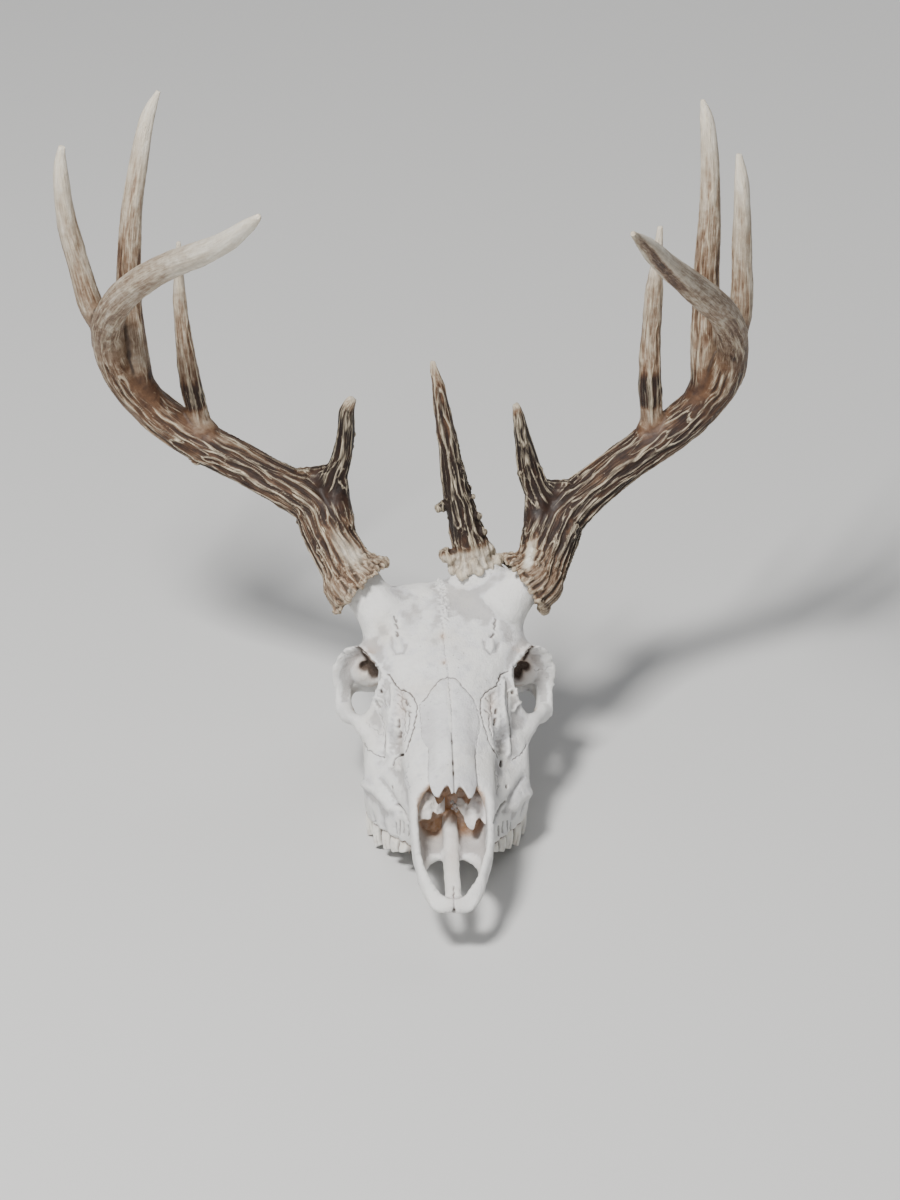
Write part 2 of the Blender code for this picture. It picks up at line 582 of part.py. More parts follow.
def nose_cutter():
    """The nasal cavity: open above in front, roofed by the nasal bones behind."""
    rings = []
    for y in CAVITY_STATIONS:
        floor, half = along(CAVITY_FLOOR_Z, y), along(CAVITY_HALF, y)
        roof = along(ROOF_Z, y) - CAVITY_ROOF_BELOW
        if y < CAVITY_UNDER_NASALS_TO:
            roof = along(NASAL_Z, y) - CAVITY_UNDER_NASALS
        if y < CAVITY_OPEN_TO:
            roof = CAVITY_OPEN_Z
        narrow = along(CAVITY_TOP_SHARE, y)
        middle = floor + (min(roof, 45) - floor) * 0.5
        outline = ((0, floor), (half * 0.8, floor + 1), (half, middle), (half * narrow, roof - 3),
                   (0, roof))
        rings.append(mirrored_ring(outline, y))
    return loft("nose_cutter", rings)


def fissure_cutter(side):
    """Slit through the palate behind the nose tip: straight inside, bowed outside."""
    count = 14
    outline = [(side * FISSURE_INNER, FISSURE_NEAR), (side * FISSURE_INNER, FISSURE_FAR)]
    for i in range(1, count):
        a = math.pi * i / count
        y = (FISSURE_NEAR + FISSURE_FAR) / 2 + (FISSURE_FAR - FISSURE_NEAR) / 2 * math.cos(a)
        outline.append((side * (FISSURE_INNER + (FISSURE_OUTER - FISSURE_INNER) * math.sin(a)), y))
    return loft("fissure_cutter", [[(x, y, z) for x, y in outline] for z in (-12, 24)])


def socket_cutters(side):
    """The eye's hollow, and the open space under it behind the teeth."""
    eye = ellipsoid("socket_cutter", (side * SOCKET_CENTRE[0], *SOCKET_CENTRE[1:]), SOCKET_RADII,
                    -side * math.radians(SOCKET_TURN_DEG))
    centre, radii = SOCKET_FLOOR
    return [eye, ellipsoid("socket_floor_cutter", (side * centre[0], *centre[1:]), radii)]


def nasal_notch(side):
    """Pointed notch in the free end of one nasal bone."""
    across, half, depth = NASAL_NOTCH
    tip = NASAL_STATIONS[0]
    outline = ((side * (across - half), tip - 2), (side * (across + half), tip - 2), (side * across, tip + depth))
    return loft("notch_cutter", [[(x, y, z) for x, y in outline] for z in (36, 60)])


def spine_cutter():
    """Hole for the spinal cord."""
    centre, radius, depth = SPINE_HOLE
    bm = bmesh.new()
    bmesh.ops.create_cone(bm, cap_ends=True, segments=20, radius1=radius * MM, radius2=radius * MM,
                          depth=depth * MM)
    place = Matrix.Translation(Vector(centre) * MM) @ Matrix.Rotation(math.pi / 2, 4, "X")
    bmesh.ops.transform(bm, matrix=place, verts=bm.verts)
    return mesh_object("spine_cutter", bm)


def palate_cutter():
    """The vault between the two rows of teeth, and the way from it into the nose behind."""
    rings = [oval_ring(y, half, PALATE_HOLLOW_LOW, top, 3.0) for y, half, top in PALATE_HOLLOW]
    return loft("palate_cutter", rings)


def throat_cutter():
    """The way from the nose down behind the palate."""
    return loft("throat_cutter", [oval_ring(*numbers) for numbers in THROAT_HOLLOW])


def floor_block(up_to):
    """Slab whose top face is the floor, as the skull lies on it."""
    tilt = math.radians(NOSE_UP_DEG)
    normal = Vector((0, -math.sin(tilt), math.cos(tilt)))
    back = Vector((0, math.cos(tilt), math.sin(tilt)))
    centre = normal * (up_to - FLOOR_SIZE[2] / 2) + back * FLOOR_MIDDLE
    return block("floor_cutter", centre, FLOOR_SIZE, tilt)


def cranium():
    """The skull with its teeth, hollow where the photo looks into it."""
    forms = [muzzle(), forehead(), braincase(), skull_base(), nasal_bones(), tube("crest", smooth_line(CREST, 4))]
    for side in SIDES.values():
        forms += side_forms(side)
    forms += [pedicle(BEAM_RIGHT), pedicle(BEAM_LEFT), pedicle(EXTRA_BEAM, EXTRA_PEDICLE_WIDER)]
    made = melt("cranium", forms, CRANIUM_VOXEL, 4)
    for side in SIDES.values():
        for cutter in (*socket_cutters(side), fissure_cutter(side), nasal_notch(side)):
            boolean(made, cutter)
    for cutter in (nose_cutter(), spine_cutter(), palate_cutter(), throat_cutter()):
        boolean(made, cutter)
    for side in SIDES.values():
        for numbers in TEETH:
            boolean(made, tooth(side, *numbers), "UNION")
    soft = made.modifiers.new("skin", "REMESH")
    soft.mode = "VOXEL"
    soft.voxel_size = CRANIUM_VOXEL * MM
    thin = made.modifiers.new("thin", "DECIMATE")
    bpy.context.view_layer.update()
    count = len(made.evaluated_get(bpy.context.evaluated_depsgraph_get()).data.polygons) * 2
    thin.ratio = min(1.0, CRANIUM_TRIANGLES / count)
    settle(made)
    for stations in (BEAM_RIGHT, BEAM_LEFT, EXTRA_BEAM):
        boolean(made, antler_foot(stations))
    boolean(made, floor_block(-FLOOR_DROP))
    SHAPES.objects.unlink(made)
    PARTS.objects.link(made)
    made.name = "cranium"
    return made


# ---------------------------------------------------------------- assembly
def rest_pose(nodes):
    """Lay the skull down: nose up by a few degrees, its lowest points on the floor."""
    tilt = math.radians(NOSE_UP_DEG)
    stand = bpy.data.objects.new("rest_pose", None)
    PARTS.objects.link(stand)
    stand.rotation_euler = Euler((-tilt, 0, 0))
    stand.location = Vector((-CENTRE_X, -CENTRE_Y, FLOOR_DROP)) * MM
    for node in nodes:
        node.parent = stand


def main():
    skull = cranium()
    skull.data.materials.clear()
    skull.data.materials.append(BONE)
    nodes = [skull]
    for side in SIDES:
        nodes += antler(side)
    fine, run = beam_line(EXTRA_BEAM)
    nodes.append(tube("extra_beam", stretch(fine, run, 0.0, run[-1]), group=PARTS))
    for node in nodes[1:]:
        dark = any(word in node.name for word in ("base", "lower", "brow", "extra"))
        node.data.materials.clear()
        node.data.materials.append(ANTLER_DARK if dark else ANTLER_PALE)
    for node in nodes:
        node.data.shade_smooth()
        node.data.set_sharp_from_angle(angle=math.radians(50))
    rest_pose(nodes)
    for left_over in list(SHAPES.objects):
        left_over.hide_render = True
        left_over.display_type = "WIRE"
    bpy.context.view_layer.update()
    for node in nodes:
        print(node.name, len(node.data.polygons))


main()
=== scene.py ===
# %% [markdown]
# # A white-tailed deer's skull and antlers
# The skull lies on its cheek teeth and on two prongs of bone at the back, and the camera looks down
# on it from the front. Everything is described in the skull's own frame in millimetres, as a bone
# collector would measure it: X to the animal's left, Y back from the tip of the nose, Z up from
# that tip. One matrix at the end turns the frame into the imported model's metres.

# %% Frame and units
import math
import random

import bmesh
import bpy
import numpy as np
from mathutils import Matrix, Vector, noise
from mathutils.bvhtree import BVHTree


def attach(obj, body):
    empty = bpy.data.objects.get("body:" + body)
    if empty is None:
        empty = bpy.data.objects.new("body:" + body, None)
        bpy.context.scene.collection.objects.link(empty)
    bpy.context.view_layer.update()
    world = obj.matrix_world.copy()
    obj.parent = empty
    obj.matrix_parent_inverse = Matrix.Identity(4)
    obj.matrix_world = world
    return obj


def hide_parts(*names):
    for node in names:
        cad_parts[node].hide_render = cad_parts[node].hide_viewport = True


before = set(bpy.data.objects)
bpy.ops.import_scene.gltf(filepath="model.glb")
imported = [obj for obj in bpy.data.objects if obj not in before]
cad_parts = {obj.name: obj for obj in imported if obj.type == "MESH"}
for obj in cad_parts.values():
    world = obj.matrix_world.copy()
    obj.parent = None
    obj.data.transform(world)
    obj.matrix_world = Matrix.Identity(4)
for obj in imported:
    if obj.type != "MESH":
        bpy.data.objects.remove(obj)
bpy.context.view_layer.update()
MM = 0.001
NOSE_TIP = Vector((0.0228, -0.1471, 0.027))
REST = Matrix.Translation(NOSE_TIP) @ Matrix.Rotation(math.radians(-5.0), 4, "X") @ Matrix.Scale(MM, 4)

# %% [markdown]
# ## Camera
# A long lens three and a half metres away keeps the antlers and the nose at nearly one scale, as in
# the photo. The camera looks down by 30 degrees and stands a little to one side. Details that were
# read off the photo are given in its pixels, so the script also keeps the way from a pixel to the
# bone and back.

# %% Camera
SIDEWAYS, LOOK_DOWN, ROLL = (math.radians(v) for v in (2.3, 30.0, 1.0))
LENS, SENSOR, PHOTO = 200.0, 36.0, (900, 1200)
PIXELS = LENS / SENSOR * PHOTO[1]

flat_right = Vector((math.cos(SIDEWAYS), -math.sin(SIDEWAYS), 0))
flat_up = Vector((math.sin(SIDEWAYS) * math.sin(LOOK_DOWN), math.cos(SIDEWAYS) * math.sin(LOOK_DOWN),
                  math.cos(LOOK_DOWN)))
ahead = Vector((math.sin(SIDEWAYS) * math.cos(LOOK_DOWN), math.cos(SIDEWAYS) * math.cos(LOOK_DOWN),
                -math.sin(LOOK_DOWN)))
right = flat_right * math.cos(ROLL) + flat_up * math.sin(ROLL)
up = flat_up * math.cos(ROLL) - flat_right * math.sin(ROLL)
EYE_RIGHT, EYE_UP, EYE_AWAY = -0.00213, 0.1688, 3.55    # metres from the tip of the nose
eye = NOSE_TIP + right * EYE_RIGHT + up * EYE_UP - ahead * EYE_AWAY
UNREST = REST.inverted()
VIEW = (REST.to_3x3().inverted() @ ahead).normalized()    # the camera's direction in the skull's frame


def new_object(name, data):
    made = bpy.data.objects.new(name, data)
    bpy.context.scene.collection.objects.link(made)
    return made


lens = bpy.data.cameras.new("photo_camera")
lens.lens, lens.sensor_width, lens.clip_end = LENS, SENSOR, 30
camera = new_object("photo_camera", lens)
camera.matrix_world = Matrix((right, up, -ahead)).transposed().to_4x4()
camera.matrix_world.translation = eye
bpy.context.scene.camera = camera


def photo_place(points):
    """Pixels of the photo at which points of the skull's frame show."""
    world = np.asarray(points) @ np.array(REST.to_3x3()).T + np.array(REST.translation)
    away = world - np.array(eye)
    deep = away @ np.array(ahead)
    return np.stack((PHOTO[0] / 2 + PIXELS * (away @ np.array(right)) / deep,
                     PHOTO[1] / 2 - PIXELS * (away @ np.array(up)) / deep), axis=1)


def behind_pixel(x, y, back):
    """The point behind a pixel that lies so many millimetres back from the nose tip."""
    ray = ahead + right * ((x - PHOTO[0] / 2) / PIXELS) - up * ((y - PHOTO[1] / 2) / PIXELS)
    start, step = UNREST @ eye, UNREST.to_3x3() @ ray
    return start + step * ((back - start.y) / step.y)


print("camera at", [round(v, 3) for v in eye])

# %% [markdown]
# ## Shaping tools
# Bone has no straight edges, so most forms are skins over a row of rings. Each ring starts as a
# bmesh circle whose points are moved onto a cross-section, and bridge_loops joins neighbours. A
# voxel remesh then melts overlapping forms into one skin, as flesh-eaten bone is one surface, and
# a smoothing pass takes the steps off.

# %% Curves
def smooth_line(points, steps):
    """Smooth open line (Catmull-Rom) through tuples, with so many steps between each two."""
    ends = [points[0], *points, points[-1]]
    line = []
    for a, b, c, d in zip(ends, ends[1:], ends[2:], ends[3:]):
        for i in range(steps):
            t = i / steps
            line.append(tuple(0.5 * (2 * q + (r - p) * t + (2 * p - 5 * q + 4 * r - s) * t * t
                                     + (3 * q - p - 3 * r + s) * t ** 3) for p, q, r, s in zip(a, b, c, d)))
    line.append(tuple(float(v) for v in points[-1]))
    return line


def along(curve, y):
    """Value at y of a smooth curve through (y, value) pairs."""
    y = min(max(y, curve[0][0]), curve[-1][0])
    k = next(i for i in range(len(curve) - 1) if curve[i + 1][0] >= y)
    (y0, v0), (y1, v1) = curve[k], curve[k + 1]
    span = y1 - y0
    slope0 = (v1 - curve[k - 1][1]) / (y1 - curve[k - 1][0]) if k else (v1 - v0) / span
    slope1 = (curve[k + 2][1] - v0) / (curve[k + 2][0] - y0) if k + 2 < len(curve) else (v1 - v0) / span
    t = (y - y0) / span
    rise = (2 * t ** 3 - 3 * t ** 2 + 1) * v0 + (3 * t ** 2 - 2 * t ** 3) * v1
    return rise + span * ((t ** 3 - 2 * t ** 2 + t) * slope0 + (t ** 3 - t ** 2) * slope1)


# %% Forms
def to_mesh(bm, tidy=True):
    if tidy:
        bmesh.ops.recalc_face_normals(bm, faces=bm.faces)
        if bm.calc_volume(signed=True) < 0:
            bmesh.ops.reverse_faces(bm, faces=bm.faces)
    mesh = bpy.data.meshes.new("form")
    bm.to_mesh(mesh)
    bm.free()
    return mesh


def skin_over(rings):
    """Closed skin over rings of points."""
    bm = bmesh.new()
    loops = []
    for ring in rings:
        verts = bmesh.ops.create_circle(bm, segments=len(ring), radius=1.0)["verts"]
        for vert, point in zip(verts, ring):
            vert.co = point
        loops.append(list({edge for vert in verts for edge in vert.link_edges}))
    for first, second in zip(loops, loops[1:]):
        bmesh.ops.bridge_loops(bm, edges=first + second)
    for loop in (loops[0], loops[-1]):
        bmesh.ops.holes_fill(bm, edges=loop, sides=0)
    return to_mesh(bm)


def section(half, y, steps=4):
    """Ring in the plane at y from a half outline that starts and ends on the middle."""
    line = smooth_line(half, steps)
    return [(x, y, z) for x, z in line] + [(-x, y, z) for x, z in line[-2:0:-1]]


def oval(y, half, low, high, square=2.4, middle=0.0, count=28):
    """Ring like a rounded box in the plane at y."""
    ring = []
    for i in range(count):
        c, s = math.cos(2 * math.pi * i / count), math.sin(2 * math.pi * i / count)
        ring.append((middle + half * math.copysign(abs(c) ** (2 / square), c), y,
                     (low + high) / 2 + (high - low) / 2 * math.copysign(abs(s) ** (2 / square), s)))
    return ring


def ball(centre, radii, turn=0.0, segments=32):
    bm = bmesh.new()
    bmesh.ops.create_uvsphere(bm, u_segments=segments, v_segments=segments * 5 // 8, radius=1.0)
    place = Matrix.Translation(centre) @ Matrix.Rotation(turn, 4, "Z")
    bmesh.ops.transform(bm, matrix=place @ Matrix.Diagonal((*radii, 1.0)), verts=bm.verts)
    return to_mesh(bm)


def pipe(stations, closed=False, detail=3):
    """Tube through (x, y, z, radius) stations: a bevelled curve, made a mesh."""
    data = bpy.data.curves.new("pipe", "CURVE")
    data.dimensions, data.bevel_depth, data.bevel_resolution, data.use_fill_caps = "3D", 1.0, detail, True
    spline = data.splines.new("POLY")
    spline.points.add(len(stations) - 1)
    for point, (x, y, z, radius) in zip(spline.points, stations):
        point.co, point.radius = (x, y, z, 1.0), radius
    spline.use_cyclic_u = closed
    source = new_object("pipe", data)
    bpy.context.view_layer.update()
    bm = bmesh.new()
    bm.from_mesh(source.evaluated_get(bpy.context.evaluated_depsgraph_get()).to_mesh())
    bmesh.ops.remove_doubles(bm, verts=bm.verts, dist=0.01)
    bpy.data.objects.remove(source)
    bpy.data.curves.remove(data)
    return to_mesh(bm)


# %% Melting and cutting
def gather(name, meshes):
    """One object from several meshes, their shells still separate."""
    bm = bmesh.new()
    for mesh in meshes:
        bm.from_mesh(mesh)
        bpy.data.meshes.remove(mesh)
    return new_object(name, to_mesh(bm, tidy=False))


def settle(made):
    """Let an object's modifiers finish, and keep their result."""
    bpy.context.view_layer.update()
    mesh = bpy.data.meshes.new_from_object(made.evaluated_get(bpy.context.evaluated_depsgraph_get()))
    made.modifiers.clear()
    old, made.data = made.data, mesh
    bpy.data.meshes.remove(old)


def remelt(made, voxel, passes):
    skin = made.modifiers.new("skin", "REMESH")
    skin.mode, skin.voxel_size = "VOXEL", voxel
    smooth = made.modifiers.new("smooth", "SMOOTH")
    smooth.factor, smooth.iterations = 0.5, passes
    settle(made)


def carve(made, meshes):
    """Take shells that don't overlap each other out of an object."""
    tool = gather("cutter", meshes)
    cut = made.modifiers.new("cut", "BOOLEAN")
    cut.operation, cut.solver, cut.object = "DIFFERENCE", "EXACT", tool
    settle(made)
    bpy.data.objects.remove(tool)


def add_form(made, mesh):
    bm = bmesh.new()
    bm.from_mesh(made.data)
    bm.from_mesh(mesh)
    bm.to_mesh(made.data)
    bm.free()
    bpy.data.meshes.remove(mesh)


def places(mesh):
    flat = np.empty(len(mesh.vertices) * 3)
    mesh.vertices.foreach_get("co", flat)
    return flat.reshape(-1, 3)


def directions(mesh):
    flat = np.empty(len(mesh.vertices) * 3)
    mesh.vertex_normals.foreach_get("vector", flat)
    return flat.reshape(-1, 3)


def move_to(mesh, points):
    mesh.vertices.foreach_set("co", np.ascontiguousarray(points).ravel())
    mesh.update()


def mark(mesh, name, values):
    """Keep a number for each vertex, for the materials to read."""
    layer = mesh.attributes.get(name) or mesh.attributes.new(name, "FLOAT", "POINT")
    layer.data.foreach_set("value", np.ascontiguousarray(values, dtype=np.float32))


def mark_vector(mesh, name, values):
    layer = mesh.attributes.new(name, "FLOAT_VECTOR", "POINT")
    layer.data.foreach_set("vector", np.ascontiguousarray(values, dtype=np.float32).ravel())


def rough(points, size, octaves=1, shift=0.0):
    """Perlin noise at points, from -1 to 1 or so."""
    return np.array([noise.fractal(Vector(p) / size + Vector((shift, shift, shift)), 1.0, 2.0, octaves)
                     for p in points])


def fade(values, start, end):
    """0 before start, 1 after end, smooth between (either way round)."""
    t = np.clip((values - start) / (end - start), 0.0, 1.0)
    return t * t * (3 - 2 * t)


SIDES = {"right": -1, "left": 1}
print("tools ready")

# %% [markdown]
# ## The skull's numbers
# Heights and half widths of the face are curves over the distance back from the nose tip. They are
# the same numbers as the solid model's, so the bone lies on it, with one more curve: the face is
# hollow between the cheek and the bridge of the nose.

# %% Face, forehead and braincase
MUZZLE_STATIONS = (0.5, 4, 9, 16, 24, 34, 46, 56, 64, 72, 82, 92, 102, 112, 122, 134, 146, 156)
ROOF_Z = ((0, 6), (12, 15), (24, 22.5), (40, 30), (54, 35), (62, 39.5), (67, 47), (74, 52), (82, 55.5),
          (92, 59.5), (118, 67.5), (138, 74), (158, 80))
ROOF_HALF = ((0, 6), (12, 12.5), (24, 16), (40, 17.5), (58, 17), (66, 13), (76, 9.5), (92, 8.5), (118, 10.5),
             (138, 15), (158, 23))
SHOULDER_Z = ((0, 5), (12, 12), (24, 18), (40, 25), (60, 34), (75, 42), (92, 48), (118, 55), (138, 60),
              (158, 64))
SHOULDER_HALF = ((0, 10.5), (5, 13.6), (12, 16.2), (24, 19.3), (40, 21.3), (60, 22.3), (75, 21.5), (92, 23),
                 (118, 27.5), (138, 33), (158, 33))
CHEEK_Z = ((0, 3), (12, 6), (24, 9), (40, 13), (60, 20), (75, 22), (92, 23), (118, 22), (132, 32), (144, 40),
           (158, 36))
CHEEK_HALF = ((0, 10.5), (5, 13.6), (12, 16), (24, 19), (40, 20.9), (60, 22), (75, 23.5), (92, 31),
              (105, 39.5), (118, 44.8), (132, 44.8), (144, 46), (158, 42))
HOLLOW = ((0, 0.5), (74, 0.5), (88, 0.28), (102, 0.08), (118, 0.04), (134, 0.2), (150, 0.5))
ALVEOLUS_Z = ((0, 1), (24, 4), (60, 7), (75, 4), (84, 0), (105, -5), (125, -8), (145, -6), (158, 0))
ALVEOLUS_HALF = ((0, 8), (12, 13.5), (24, 16), (60, 17), (75, 19), (84, 25), (96, 31), (110, 36.5),
                 (125, 40.5), (145, 40), (158, 34))
PALATE_Z = ((0, 0), (24, 3.6), (60, 6), (105, 7), (158, 9))

BROW_STATIONS = (118, 128, 138, 147, 156, 165, 174, 183, 191, 200, 209, 218, 227, 234)
BROW_TOP_Z = ((118, 67.5), (138, 74), (150, 79.5), (165, 86.5), (180, 93), (195, 99.5), (205, 101.5),
              (215, 98), (225, 92.5), (234, 87))
BROW_HALF = ((118, 13), (138, 22), (147, 28.5), (156, 32.5), (165, 37), (174, 43), (183, 45), (191, 44.5),
             (200, 44.5), (209, 42.5), (218, 40), (234, 34))
BROW_EDGE_Z = ((118, 58), (138, 62), (150, 68), (158, 70.5), (165, 72), (174, 73.5), (183, 75.5), (191, 81),
               (200, 87), (210, 89), (220, 86), (234, 80))
BROW_DEPTH = 34.0

CASE_STATIONS = (184, 192, 202, 213, 224, 236, 247, 257, 264, 269)
CASE_TOP_Z = ((184, 88), (205, 95), (225, 91), (245, 82), (260, 73), (269, 64))
CASE_LOW_Z = ((184, 38), (205, 30), (225, 24), (250, 20), (269, 22))
CASE_HALF = ((184, 27), (200, 33), (220, 36), (240, 37), (255, 34), (264, 28), (269, 19))
BASE_STATIONS = (140, 152, 166, 184, 204, 226, 248, 266, 272)
BASE_TOP_Z = ((140, 60), (184, 64), (226, 46), (272, 26))
BASE_LOW_Z = ((140, 20), (166, 22), (204, 17), (226, 13), (266, 11), (272, 14))
BASE_HALF = ((140, 19), (166, 13), (204, 12), (226, 14), (266, 16), (272, 12))


def muzzle():
    rings = []
    for y in MUZZLE_STATIONS:
        (low_half, low), (high_half, high) = ((along(CHEEK_HALF, y), along(CHEEK_Z, y)),
                                              (along(SHOULDER_HALF, y), along(SHOULDER_Z, y)))
        share = along(HOLLOW, y)
        outline = ((0, along(PALATE_Z, y)), (along(ALVEOLUS_HALF, y) * 0.55, along(PALATE_Z, y) - 0.5),
                   (along(ALVEOLUS_HALF, y), along(ALVEOLUS_Z, y)), (low_half, low),
                   (high_half + (low_half - high_half) * share, low + (high - low) * 0.5), (high_half, high),
                   (along(ROOF_HALF, y), along(ROOF_Z, y) - 2.5), (0, along(ROOF_Z, y)))
        rings.append(section(outline, y))
    return skin_over(rings)


def forehead():
    rings = []
    for y in BROW_STATIONS:
        top, edge, half = along(BROW_TOP_Z, y), along(BROW_EDGE_Z, y), along(BROW_HALF, y)
        outline = ((0, top - BROW_DEPTH), (half * 0.55, edge - 12), (half * 0.93, edge - 5), (half, edge),
                   (half * 0.86, edge + (top - edge) * 0.5), (half * 0.55, top - 2.2), (0, top))
        rings.append(section(outline, y))
    return skin_over(rings)


def braincase():
    return [skin_over([oval(y, along(CASE_HALF, y), along(CASE_LOW_Z, y), along(CASE_TOP_Z, y))
                       for y in CASE_STATIONS]),
            skin_over([oval(y, along(BASE_HALF, y), along(BASE_LOW_Z, y), along(BASE_TOP_Z, y))
                       for y in BASE_STATIONS])]


# %% [markdown]
# ## Eye sockets and the underside
# The rim of the eye is a ring of bone that flares out wide behind the eye. It is a flat band laid
# between an outer and an inner line of points. The underside is hidden in the photo and follows the
# species: two condyles for the neck, a hole between them, an ear drum each side, and a long prong
# outside each condyle.

# %% Paired forms
RIM_EDGE = ((49.5, 173, 79), (58, 178, 72.5), (62, 181, 64), (63.4, 182, 57), (62.8, 182, 51),
            (62, 180.5, 46), (62.4, 177, 40.5), (61.4, 171, 37), (58.5, 164, 35.8), (53, 157, 37),
            (48.5, 151, 40.5), (43.5, 147.5, 47), (40.2, 146.5, 57), (37.8, 149.5, 66), (38, 155, 71.5),
            (42.5, 165, 75.5))
RIM_INSIDE = ((46, 178, 74), (44.5, 184, 67.5), (45.5, 187, 60), (46.8, 188, 54), (48.5, 188, 49),
              (50, 186.5, 43.5), (50.5, 183, 40.5), (49.5, 177, 38.5), (47.5, 169, 38.8), (45.5, 161, 40),
              (43.5, 156, 43.5), (41, 152, 49), (38, 152, 58), (35.5, 155, 66), (35, 160, 69.5),
              (40, 169, 72.5))
RIM_THICK = 3.0
ARCH = ((43, 140, 38), (49, 153, 42), (54, 168, 40), (55, 186, 36), (52, 202, 39.5), (45, 214, 43.5),
        (34, 226, 46))
PROCESS = ((29, 252, 34, 8), (29.5, 255, 20, 7), (29, 256.5, 6, 5), (28, 256.5, -5.6, 4.4))
EAR_TUBE = ((27, 238, 28, 6), (36, 240, 34, 5.2), (42, 241, 37.5, 5))
WING = ((146, 14, 34), (156, 10, 34), (170, 8.5, 33), (182, 11, 30), (194, 19, 27))
CREST = ((-26, 263, 55, 4.5), (-14, 266, 62, 5), (0, 267.5, 64.5, 5.5), (14, 266, 62, 5), (26, 263, 55, 4.5))
BALLS = {"condyle": ((12.8, 266.5, 21.5), (8.6, 9.0, 12.0)), "drum": ((22.5, 236.0, 14.5), (7.0, 12.5, 8.5)),
         "temple": ((29, 212, 64), (14, 32, 26)), "shelf": ((41, 211, 42), (16, 16, 8))}


def mirrored(stations, side):
    return [(side * s[0], *s[1:]) for s in stations]


def band(edge, inside, thick, count=16):
    """Closed flat band between two lines of points, its edges rounded."""
    edge, inside = (np.array(smooth_line((line[-1], *line, line[0], line[1]), 3))[3:-4]
                    for line in (edge, inside))
    bm = bmesh.new()
    loops = []
    for i in range(len(edge)):
        middle, half = (edge[i] + inside[i]) / 2, (edge[i] - inside[i]) / 2
        ahead_of = (edge[(i + 1) % len(edge)] + inside[(i + 1) % len(edge)]) / 2 - middle
        across = np.cross(half, ahead_of)
        across *= thick / 2 / np.linalg.norm(across)
        verts = bmesh.ops.create_circle(bm, segments=count, radius=1.0)["verts"]
        for k, vert in enumerate(verts):
            c, s = math.cos(2 * math.pi * k / count), math.sin(2 * math.pi * k / count)
            wide, thin = math.copysign(abs(c) ** 0.7, c), math.copysign(abs(s) ** 0.6, s)
            vert.co = middle + half * wide + across * thin
        loops.append(list({e for vert in verts for e in vert.link_edges}))
    for first, second in zip(loops, loops[1:] + loops[:1]):
        bmesh.ops.bridge_loops(bm, edges=first + second)
    return to_mesh(bm)


def paired_forms(side):
    forms = [band(mirrored(RIM_EDGE, side), mirrored(RIM_INSIDE, side), RIM_THICK),
             pipe(mirrored([(*p, 4.0) for p in smooth_line(ARCH, 4)], side))]
    forms += [pipe(mirrored(smooth_line(line, 4), side)) for line in (PROCESS, EAR_TUBE)]
    forms += [ball((side * centre[0], *centre[1:]), radii) for centre, radii in BALLS.values()]
    forms.append(skin_over([oval(y, 2.7, low, high, middle=side * 12.6) for y, low, high in WING]))
    return forms


# %% [markdown]
# ## Antler numbers
# Each beam and tine is a line of stations (x, y, z, radius). The skull needs the beams' feet for
# the stumps they stand on, so the lines come before the bone is melted.

# %% Beams and tines
BEAM_RIGHT = ((-46, 200.5, 101.5, 19.5), (-50.2, 202.5, 105.3, 18.8), (-54.5, 207, 111.5, 14.9),
              (-60, 213.5, 119.5, 14.2), (-66, 219.5, 128.5, 13.4), (-73, 227, 140, 12.7),
              (-96, 236.5, 151, 11.6), (-118, 244, 161, 11.4), (-141.5, 250, 171.5, 11.4),
              (-167, 254, 192, 11.1), (-183, 247, 220.5, 9.8), (-184, 226, 251.5, 9.0),
              (-170.5, 192, 283.5, 8.4), (-149, 152, 313, 7.7), (-125.5, 104, 342.5, 6.3),
              (-110.5, 73, 365.5, 4.4), (-103.5, 58.5, 377.5, 1.6))
TINES_RIGHT = {
    "brow": ((-68, 224, 136, 7.0), (-59, 227, 159.5, 6.3), (-55, 226.5, 178, 5.0), (-54, 226, 195, 4.5),
             (-50.7, 225.5, 204, 2.4)),
    "second": ((-132, 248, 168, 6.4), (-139, 248.5, 199, 6.2), (-143.5, 247.5, 229, 5.0),
               (-146, 246, 259.5, 3.8), (-146.3, 246, 288.5, 1.4)),
    "third": ((-164, 252.5, 189, 6.4), (-170, 250, 219, 7.5), (-173.5, 248, 252.5, 7.1),
              (-172, 249, 301.5, 6.2), (-164.5, 256, 350, 4.4), (-156.7, 260, 371, 1.6)),
    "fourth": ((-183.3, 241.5, 229, 5.4), (-194, 241, 252.5, 6.9), (-201.5, 240, 280, 6.3),
               (-207.3, 239, 305.5, 5.6), (-210, 236.7, 334, 3.8), (-209, 234.7, 348.5, 1.9))}
BEAM_LEFT = ((44.5, 197, 104.5, 19.0), (49.3, 198.7, 107.8, 18.2), (53.5, 203, 113, 15.0),
             (58, 209, 121, 14.4), (62, 213.5, 129, 13.8), (67, 219, 136.5, 13.0), (86.5, 228.5, 151.5, 11.9),
             (109, 236, 166.5, 11.6), (132.5, 239.5, 183, 11.4), (148, 238, 200, 10.5),
             (156.5, 231, 219.5, 9.5), (157, 217, 241, 8.9), (149.5, 191.5, 267, 8.7), (134, 155, 295, 8.3),
             (115, 114, 325, 7.0), (99.3, 77, 353, 5.0), (89.5, 52.5, 370.5, 1.8))
